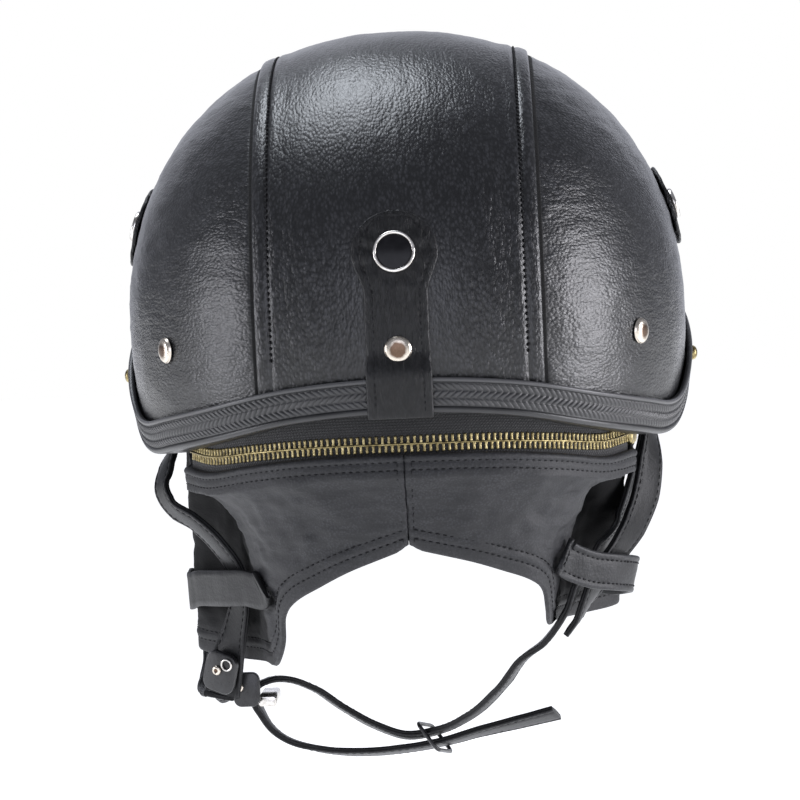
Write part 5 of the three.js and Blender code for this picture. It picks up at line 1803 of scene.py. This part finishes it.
# %% Strap routes
HANG_DEPTH = 193
STRAP_WIDTH = 16
STRAP_ROUTES = {
    "strap_rear_left": [
        (0.857, 0.105, 0.19, 84), (0.855, 0.125, 0.258, 80), (0.88, 0.16, 0.305, 68),
        (0.89, 0.195, 0.35, 63), (0.851, 0.238, 0.392, 63), (0.769, 0.287, 0.425, 63),
        (0.69, 0.315, 0.472, 63), (0.628, 0.318, 0.534, 63), (0.622, 0.303, 0.601, 60),
        (0.65, 0.262, 0.674, 48), (0.685, 0.23, 0.741, 25), (0.711, 0.205, 0.813, 15),
    ],
    "strap_rear_right": [
        (-0.857, 0.105, 0.19, -84), (-0.852, 0.125, 0.258, -74), (-0.845, 0.155, 0.33, -50),
        (-0.822, 0.185, 0.405, -42), (-0.775, 0.235, 0.467, -44), (-0.71, 0.3, 0.52, -54),
        (-0.645, 0.352, 0.57, -56), (-0.598, 0.355, 0.62, -72), (-0.565, 0.335, 0.66, -82),
        (-0.53, 0.32, 0.69, -84),
    ],
    "strap_front_left": [
        (0.853, -0.31, 0.015, 105), (0.853, -0.31, 0.07, 104), (0.85, -0.31, 0.2, 92),
        (0.84, -0.31, 0.36, 90), (0.83, -0.3, 0.52, 88), (0.82, -0.27, 0.64, 86),
        (0.812, -0.2, 0.74, 84), (0.795, -0.1, 0.8, 80), (0.77, 0.01, 0.825, 75),
        (0.745, 0.09, 0.828, 70), (0.72, 0.15, 0.825, 65),
    ],
    "chin_strap": [
        (-0.853, -0.31, 0.015, -105), (-0.853, -0.3, 0.1, -102), (-0.845, -0.19, 0.275, -85),
        (-0.785, -0.035, 0.404, -70), (-0.722, 0.14, 0.482, -60), (-0.632, 0.31, 0.53, -64),
        (-0.566, 0.4, 0.578, -78), (-0.528, 0.395, 0.631, -84), (-0.455, 0.328, 0.704, -84),
        (-0.361, 0.252, 0.759, -78), (-0.287, 0.168, 0.824, -76), (-0.182, 0.056, 0.894, -74),
        (-0.058, -0.042, 0.942, -74), (0.069, -0.07, 0.957, -75), (0.185, -0.07, 0.931, -76),
        (0.296, -0.056, 0.887, -77), (0.401, -0.028, 0.836, -78), (0.495, 0.014, 0.808, -80),
        (0.558, 0.042, 0.806, -84), (0.601, 0.056, 0.819, -88), (0.61, 0.056, 0.847, -88),
        (0.591, 0.049, 0.878, -92), (0.555, 0.035, 0.917, -96), (0.49, 0.014, 0.951, -100),
        (0.373, -0.028, 0.978, -103), (0.248, -0.063, 0.991, -105), (0.101, -0.084, 0.991, -106),
        (-0.048, -0.07, 0.977, -106), (-0.196, -0.042, 0.952, -110), (-0.344, -0.021, 0.93, -114),
        (-0.479, 0, 0.909, -117),
    ],
}


def hang(across, back, drop):
    """A place on a strap, from shares of the half width, half length and hang depth."""
    return np.array([across * HALF_WIDTH, back * HALF_LENGTH, WIDEST - drop * HANG_DEPTH])


def centripetal(points, share):
    """A point of the centripetal spline through points, share running from 0 to 1."""
    points = np.asarray(points, float)
    last = len(points) - 1
    place = np.clip(share, 0, 1) * last
    index = min(int(place), last - 1)
    weight = place - index
    second = points[index]
    third = points[index + 1]
    first = points[index - 1] if index > 0 else 2 * points[0] - points[1]
    fourth = points[index + 2] if index + 2 <= last else 2 * points[last] - points[last - 1]
    pairs = ((first, second), (second, third), (third, fourth))
    before, span, after = [np.dot(b - a, b - a) ** 0.25 for a, b in pairs]
    slope = (third - second) / span
    start = ((second - first) / before - (third - first) / (before + span) + slope) * span
    end = (slope - (fourth - second) / (span + after) + (fourth - third) / after) * span
    cubic = 2 * (second - third) + start + end
    square = 3 * (third - second) - 2 * start - end
    return ((cubic * weight + square) * weight + start) * weight + second


def spline_line(points, count):
    """Points along the spline and their tangents."""
    shares = np.linspace(0, 1, count)
    step = 0.0002
    behind, line, ahead = [
        np.array([centripetal(points, min(max(share + nudge, 0), 1)) for share in shares])
        for nudge in (-step, 0, step)
    ]
    return shares, line, unit(ahead - behind)


def strap_frames(rows, count):
    """Middle line, facing and width direction of a strap."""
    rows = np.array(rows, float)
    points = np.array([hang(*row[:3]) for row in rows])
    shares, line, tangent = spline_line(points, count)
    back = unit(np.array([0, 1, 0]) - tangent * tangent[:, 1:2])
    level = np.cross(tangent, back)
    twist = np.interp(shares * (len(rows) - 1), np.arange(len(rows)), rows[:, 3])
    twist = np.radians(twist)[:, None]
    face = back * np.cos(twist) + level * np.sin(twist)
    return line, face, unit(np.cross(tangent, face))


print("straps:", ", ".join(STRAP_ROUTES))

# %% [markdown]
# A strap is two layers of thin leather glued back to back and sewn along both edges. Seen
# from the side it shows a fine line between the layers, and each flat has a pressed line
# under the stitches. So its section has rounded corners, a notch in each edge and two
# shallow grooves on each flat, and it is swept along the route and turns with it.

# %% Straps
STRAP_STITCH_INSET = 2.1
STRAP_GROOVE = 0.28
STRAP_STEP = 2.2


def strap_section():
    """Outline of a two-layer strap: (across, out) round the section."""
    half = STRAP_WIDTH / 2
    up = STRAP_THICKNESS / 2
    corner = up * 0.62
    groove = half - STRAP_STITCH_INSET
    marks = [half - corner, groove + 0.7, groove, groove - 0.7, half * 0.35, 0]
    drops = [0, 0, STRAP_GROOVE, 0, -0.12, -0.18]
    side = [(x, up - drop) for x, drop in zip(marks, drops)]
    top = [(-x, y) for x, y in side[:-1]] + [side[-1]] + side[:-1][::-1]
    edge = []
    for part in range(1, 4):
        angle = math.pi / 2 * (1 - part / 4)
        edge.append((half - corner + corner * math.cos(angle), up - corner + corner * math.sin(angle)))
    edge += [(half, up - corner), (half, 0.12), (half - 0.28, 0), (half, -0.12), (half, corner - up)]
    for part in range(1, 4):
        angle = -math.pi / 2 * part / 4
        edge.append((half - corner + corner * math.cos(angle), corner - up + corner * math.sin(angle)))
    bottom = [(-x, -y) for x, y in top]
    return np.array(top + edge + bottom + [(-x, -y) for x, y in edge])


def sweep(line, face, width, section, ripple, ripple_size, seed, depth):
    """Points and faces of a section carried along a line, rippled a little on its flats."""
    points = line[:, None] + section[None, :, :1] * width[:, None] + section[None, :, 1:] * face[:, None]
    points = points + face[:, None] * ripple * waves(points, ripple_size, seed, depth)[..., None]
    return points, tube_faces(*points.shape[:2])


def edge_worn(section, rows):
    """Straps rub pale along their corners."""
    far = np.abs(section[:, 0]) / np.abs(section[:, 0]).max()
    high = np.abs(section[:, 1]) / np.abs(section[:, 1]).max()
    return np.tile(0.75 * blend_step(far, 0.9, 1.0) * blend_step(high, 0.3, 0.9), rows)


def strap_count(rows):
    points = np.array([hang(*row[:3]) for row in rows])
    return int(travel(points)[-1] / STRAP_STEP) + 2


strap_lines = []
section = strap_section()
for name, rows in STRAP_ROUTES.items():
    line, face, width = strap_frames(rows, strap_count(rows))
    points, faces = sweep(line, face, width, section, ripple=0.16, ripple_size=14, seed=51, depth=2)
    add_piece(f"{name}_leather", points, faces, strap_hide, [name],
              {"worn": edge_worn(section, len(line))})
    for flat in (1, -1):
        for edge in (1, -1):
            offset = width * edge * (STRAP_WIDTH / 2 - STRAP_STITCH_INSET)
            out = face * flat * (STRAP_THICKNESS / 2 - STRAP_GROOVE + 0.04)
            strap_lines.append((line + offset + out, face * flat))
add_stitches("strap_stitches", strap_lines, "strap_leather", pitch=3.4, length=2.5, radius=0.22)
print("straps with", made["strap_stitches"], "faces of thread")

# %% [markdown]
# A keeper is a short wide band sewn to the ear flap at both ends, and a strap slides under
# it. Its edges are turned in, so they stand a little proud, and they are painted paler as
# two pale lines: partly edge wear, partly painted highlight. A double row of stitches
# crosses each end.

# %% Keepers
KEEPER_HEIGHT = 15.5
KEEPER_THICKNESS = 2
KEEPER_ROOM = 1.1
KEEPER_STITCH_INSET = 2.9
KEEPER_CROSS_ROWS = (3, 7, -4, -8)
KEEPER_SHADE = {"keeper_left": 0.5, "keeper_right": 0.0}
KEEPER_ROUTES = {
    "keeper_left": {
        "side": 1,
        "start": ((4.8, 5.2), 0.67),
        "span": [(0.59, 0.44, 0.56), (0.665, 0.335, 0.568), (0.73, 0.22, 0.576), (0.8, 0.09, 0.586)],
        "end": ((10.1, 10.6), 0.8),
    },
    "keeper_right": {
        "side": -1,
        "start": ((4.5, 4.9), 0.67),
        "span": [(-0.605, 0.48, 0.545), (-0.7, 0.405, 0.56), (-0.76, 0.3, 0.573), (-0.745, 0.2, 0.585),
                 (-0.68, 0.165, 0.588)],
        "end": ((8.6, 8.3), 0.78),
    },
}


def keeper_frames(side, start, span, end, count=90):
    rest = SKIRT_THICKNESS / 2 + KEEPER_THICKNESS / 2 + KEEPER_ROOM
    sewn = [[skirt_face(side, row, down, rest) for row in rows] for rows, down in (start, end)]
    points = sewn[0] + [hang(*row) for row in span] + sewn[1]
    shares, line, tangent = spline_line(points, count)
    rises = []
    for rows, down in (start, end):
        rise = skirt_point(side, rows[0], down - 0.05) - skirt_point(side, rows[0], down + 0.05)
        rises.append(unit(rise))
    up = rises[0] + (rises[1] - rises[0]) * shares[:, None]
    width = unit(up - tangent * np.sum(up * tangent, -1, keepdims=True))
    return line, unit(np.cross(tangent, width)), width


def keeper_section():
    """Outline of a keeper: turned edges stand up, and the stitches lie in a dip beside them."""
    half = KEEPER_HEIGHT / 2
    up = KEEPER_THICKNESS / 2
    marks = [(half - 0.7, up + 0.28), (half - 1.5, up + 0.34), (half - 2.3, up + 0.05),
             (half - KEEPER_STITCH_INSET, up - 0.12), (half - 3.6, up + 0.05), (half * 0.3, up + 0.12)]
    top = [(-x, y) for x, y in marks] + [(0, up + 0.14)] + marks[::-1]
    edge = [(half - 0.2, up), (half, up * 0.45), (half, -up * 0.45), (half - 0.2, -up)]
    bottom = [(half - 2.5, -up), (0, -up), (2.5 - half, -up)]
    return np.array(top + edge + bottom + [(-x, -y) for x, y in edge])


keeper_lines = []
section = keeper_section()
# Turned edges painted paler: partly edge wear, partly painted highlight.
worn = 0.4 * blend_step(np.abs(section[:, 0]), KEEPER_HEIGHT / 2 - 2.2, KEEPER_HEIGHT / 2 - 1.2)
for name, route in KEEPER_ROUTES.items():
    line, face, width = keeper_frames(**route)
    points, faces = sweep(line, face, width, section, ripple=0.22, ripple_size=8, seed=61, depth=3)
    paints = {"worn": np.tile(worn, len(line)), "deep": np.full(points[..., 0].size, KEEPER_SHADE[name])}
    add_piece(f"{name}_leather", points, faces, keeper_hide, [name], paints)
    top = KEEPER_THICKNESS / 2 + 0.1
    for edge in (1, -1):
        offset = width * edge * (KEEPER_HEIGHT / 2 - KEEPER_STITCH_INSET)
        keeper_lines.append((line + offset + face * (top - 0.18), face))
    for index in KEEPER_CROSS_ROWS:
        share = np.linspace(-0.36, 0.36, 12)[:, None]
        crossing = line[index] + width[index] * share * KEEPER_HEIGHT + face[index] * top
        keeper_lines.append((crossing, np.repeat(face[index][None], 12, axis=0)))
add_stitches("keeper_stitches", keeper_lines, "soft_leather", pitch=2.8, length=2.0, radius=0.32)
print("keepers with", made["keeper_stitches"], "faces of thread")

# %% [markdown]
# The buckle is a small cast plate on the end of the rear strap, a second plate below it
# and a bar that the chin strap turns round. Each is an outline with round corners, built
# up in layers that draw in at both faces, so that its edges are softened.

# %% Buckle plates
PLATE_THICKNESS = 3
PLATE_BEVEL = 0.6
UPPER_PLATE = {"wide": 15, "high": 18, "share": 0.93, "rest": 1.6}
LOWER_PLATE = {"wide": 11.5, "high": 15, "at": (0.627, 0.154, 0.811)}
BAR = {"wide": 7.8, "high": 4.6, "long": 25, "at": (0.557, -0.027, 0.8415)}


def satin_plastic():
    """Black moulded nylon with a satin skin and small scuffs."""
    finish = Finish("satin_plastic", (0.01, 0.01, 0.011), 0.3)
    plain = finish.space()
    scuffs = finish.noise(finish.space((1, 0.3, 0.6)), 1.4, detail=5, rough=0.7)
    finish.colours(scuffs, (0.35, (0.007, 0.007, 0.008)), (0.8, (0.03, 0.03, 0.032)))
    finish.roughness(scuffs, 0.18, 0.42)
    finish.relief(finish.noise(plain, 0.5), 0.02)
    return finish.material


plastic = satin_plastic()


def plate_outline(wide, high, corner, inset, per_corner=8):
    points = []
    for number, (sx, sy) in enumerate(((1, 1), (-1, 1), (-1, -1), (1, -1))):
        for part in range(per_corner):
            angle = math.pi / 2 * (number + part / (per_corner - 1))
            x = sx * (wide / 2 - corner) + (corner - inset) * math.cos(angle)
            y = sy * (high / 2 - corner) + (corner - inset) * math.sin(angle)
            points.append((x, y))
    return np.array(points)


def add_plate(name, at, face, width, wide, high, deep, material, node):
    """A plate with round corners and softened edges, standing out from at."""
    rise = np.cross(width, face)
    soft = PLATE_BEVEL * 0.3
    layers = [(PLATE_BEVEL, 0), (soft, soft), (0, PLATE_BEVEL)]
    layers += [(inset, deep - out) for inset, out in layers[::-1]]
    rings = []
    for inset, out in layers:
        outline = plate_outline(wide, high, min(wide, high) * 0.3, inset)
        rings.append(at - width * outline[:, :1] + rise * outline[:, 1:] + face * out)
    faces = tube_faces(len(rings), len(rings[0]))
    add_piece(name, np.concatenate(rings), faces, material, [node])


strap_at, strap_face, strap_across = strap_frames(STRAP_ROUTES["strap_rear_left"], 101)
station = round(UPPER_PLATE["share"] * 100)
upper_face = strap_face[station]
upper_width = strap_across[station]
upper_at = strap_at[station] + upper_face * (STRAP_THICKNESS / 2 + UPPER_PLATE["rest"])
nape_way = np.array([0.0, 1.0, 0.0])
left_way = np.array([1.0, 0.0, 0.0])
add_plate("buckle_upper_cast", upper_at, upper_face, upper_width, UPPER_PLATE["wide"],
          UPPER_PLATE["high"], PLATE_THICKNESS, plastic, "buckle_upper_plate")
add_plate("buckle_lower_cast", hang(*LOWER_PLATE["at"]), nape_way, left_way, LOWER_PLATE["wide"],
          LOWER_PLATE["high"], PLATE_THICKNESS, plastic, "buckle_lower_plate")
add_plate("buckle_bar_plain", hang(*BAR["at"]), nape_way, left_way, BAR["wide"], BAR["high"],
          BAR["long"], nickel, "buckle_bar")
print("buckle plates and bar:", sum("buckle" in name for name in made))

# %% [markdown]
# Two small rivets with a dimple hold the plates, and a bright wire eyelet sits on the upper
# one. They are turned parts like the studs, set out along the plates' own directions.

# %% Buckle rivets and eyelet
LOWER_RIVET = (0.655, 0.154, 0.805)
BUCKLE_RIVET_RADIUS = 2.1
BUCKLE_RIVET_HEIGHT = 1.2
EYELET_RADIUS = 2.8
EYELET_WIRE = 0.9
EYELET_ACROSS = -3.2
EYELET_UP = 5


def buckle_rivet_profile():
    """A small head with a dimple in its middle."""
    r = BUCKLE_RIVET_RADIUS
    h = BUCKLE_RIVET_HEIGHT
    head = [(r * 0.9, -0.1), (r, 0), (r, h * 0.35), (r * 0.9, h * 0.75), (r * 0.7, h)]
    return head + [(r * 0.5, h * 1.02), (r * 0.42, h * 0.8), (r * 0.3, h * 0.5), (0.05, h * 0.42)]


rivet_profile = buckle_rivet_profile()
dimple = np.array([0, 0, 0, 0, 0, 0, 0.6, 1, 1], float)
on_plate = PLATE_THICKNESS + FIT
upper_rise = np.cross(upper_width, upper_face)
upper_rivet_at = upper_at + upper_width + upper_rise + upper_face * on_plate
lower_rivet_at = hang(*LOWER_RIVET) + nape_way * on_plate
add_turned("buckle_upper_rivet_head", rivet_profile, upper_rivet_at, upper_face, warm_stud,
           "buckle_upper_rivet", worn=dimple)
add_turned("buckle_lower_rivet_head", rivet_profile, lower_rivet_at, nape_way, warm_stud,
           "buckle_lower_rivet", worn=dimple)
eyelet_curve = ring_curve(EYELET_RADIUS, EYELET_WIRE, EYELET_WIRE)
eyelet_at = upper_at + upper_width * EYELET_ACROSS + upper_rise * EYELET_UP + upper_face * on_plate
add_turned("buckle_eyelet_wire", eyelet_curve, eyelet_at, upper_face, nickel,
           "buckle_eyelet", closed_ring=True)
print("buckle pieces:", sum("buckle" in name for name in made))

# %% [markdown]
# A black loop holds the free tail against the chin strap. It is round in section, bent into
# a rounded rectangle that just clears both runs.

# %% Ring keeper
RING_WIRE = 0.9
RING_ROOM = 2.5
RING_CORNER = 3
RING_UPPER_SHARE = 0.412
RING_LOWER_SHARE = 0.9


def add_ring_keeper(stations=120, wire_sides=14):
    line, _, width = strap_frames(STRAP_ROUTES["chin_strap"], 1001)
    upper = round(RING_UPPER_SHARE * 1000)
    lower = round(RING_LOWER_SHARE * 1000)
    across = unit(width[upper] + width[lower])
    rise = line[upper] - line[lower]
    rise = rise - across * np.dot(rise, across)
    high = (np.linalg.norm(rise) + STRAP_THICKNESS) / 2 + RING_ROOM + RING_WIRE
    wide = STRAP_WIDTH / 2 + RING_ROOM + RING_WIRE
    rise = unit(rise)
    middle = (line[upper] + line[lower]) / 2
    along = np.cross(across, rise)
    turn = np.linspace(0, 2 * np.pi, stations, endpoint=False) + 0.01
    out = across * np.cos(turn)[:, None] + rise * np.sin(turn)[:, None]
    centre = middle + out * RING_CORNER
    centre = centre + across * (wide - RING_CORNER) * np.sign(np.cos(turn))[:, None]
    centre = centre + rise * (high - RING_CORNER) * np.sign(np.sin(turn))[:, None]
    angles = np.arange(wire_sides) * 2 * np.pi / wire_sides
    ring = centre[:, None] + RING_WIRE * (out[:, None] * np.cos(angles)[None, :, None]
                                          + along * np.sin(angles)[None, :, None])
    faces = grid_faces(stations, wire_sides, ring_rows=True, ring_columns=True)
    add_piece("ring_keeper_loop", ring, faces, plastic, ["ring_keeper"])


add_ring_keeper()
print("ring_keeper_loop:", made["ring_keeper_loop"], "faces")

# %% [markdown]
# The floor is a plain pale sheet well below the helmet, which hangs free. It is stage, not
# part of the object, and it only has to be even and bright.

# %% Floor
FLOOR_LEVEL = -470


def pale_paper():
    """White paper that glows a little, so that no grey shadow shows on it."""
    glow = {"Emission_Color": (1, 1, 1, 1), "Emission_Strength": 0.8}
    finish = Finish("pale_paper", (0.9, 0.9, 0.9), 0.9, **glow)
    mottle = finish.noise(finish.space(), 300)
    finish.colours(mottle, (0.0, (0.88, 0.88, 0.88)), (1.0, (0.92, 0.92, 0.92)))
    return finish.material


def add_floor(reach=9000, cells=12):
    spots = np.linspace(-reach, reach, cells + 1)
    x, y = np.meshgrid(spots, spots, indexing="ij")
    points = np.stack([x, y, np.full_like(x, FLOOR_LEVEL)], -1) * MM
    mesh = bpy.data.meshes.new("floor")
    mesh.from_pydata(points.reshape(-1, 3).tolist(), [], grid_faces(cells + 1, cells + 1).tolist())
    mesh.materials.append(pale_paper())
    floor = bpy.data.objects.new("floor", mesh)
    bpy.context.scene.collection.objects.link(floor)


add_floor()
print("floor at", FLOOR_LEVEL, "mm")

# %% Sizes and finish
print("pieces:", len(made), "faces:", sum(made.values()))
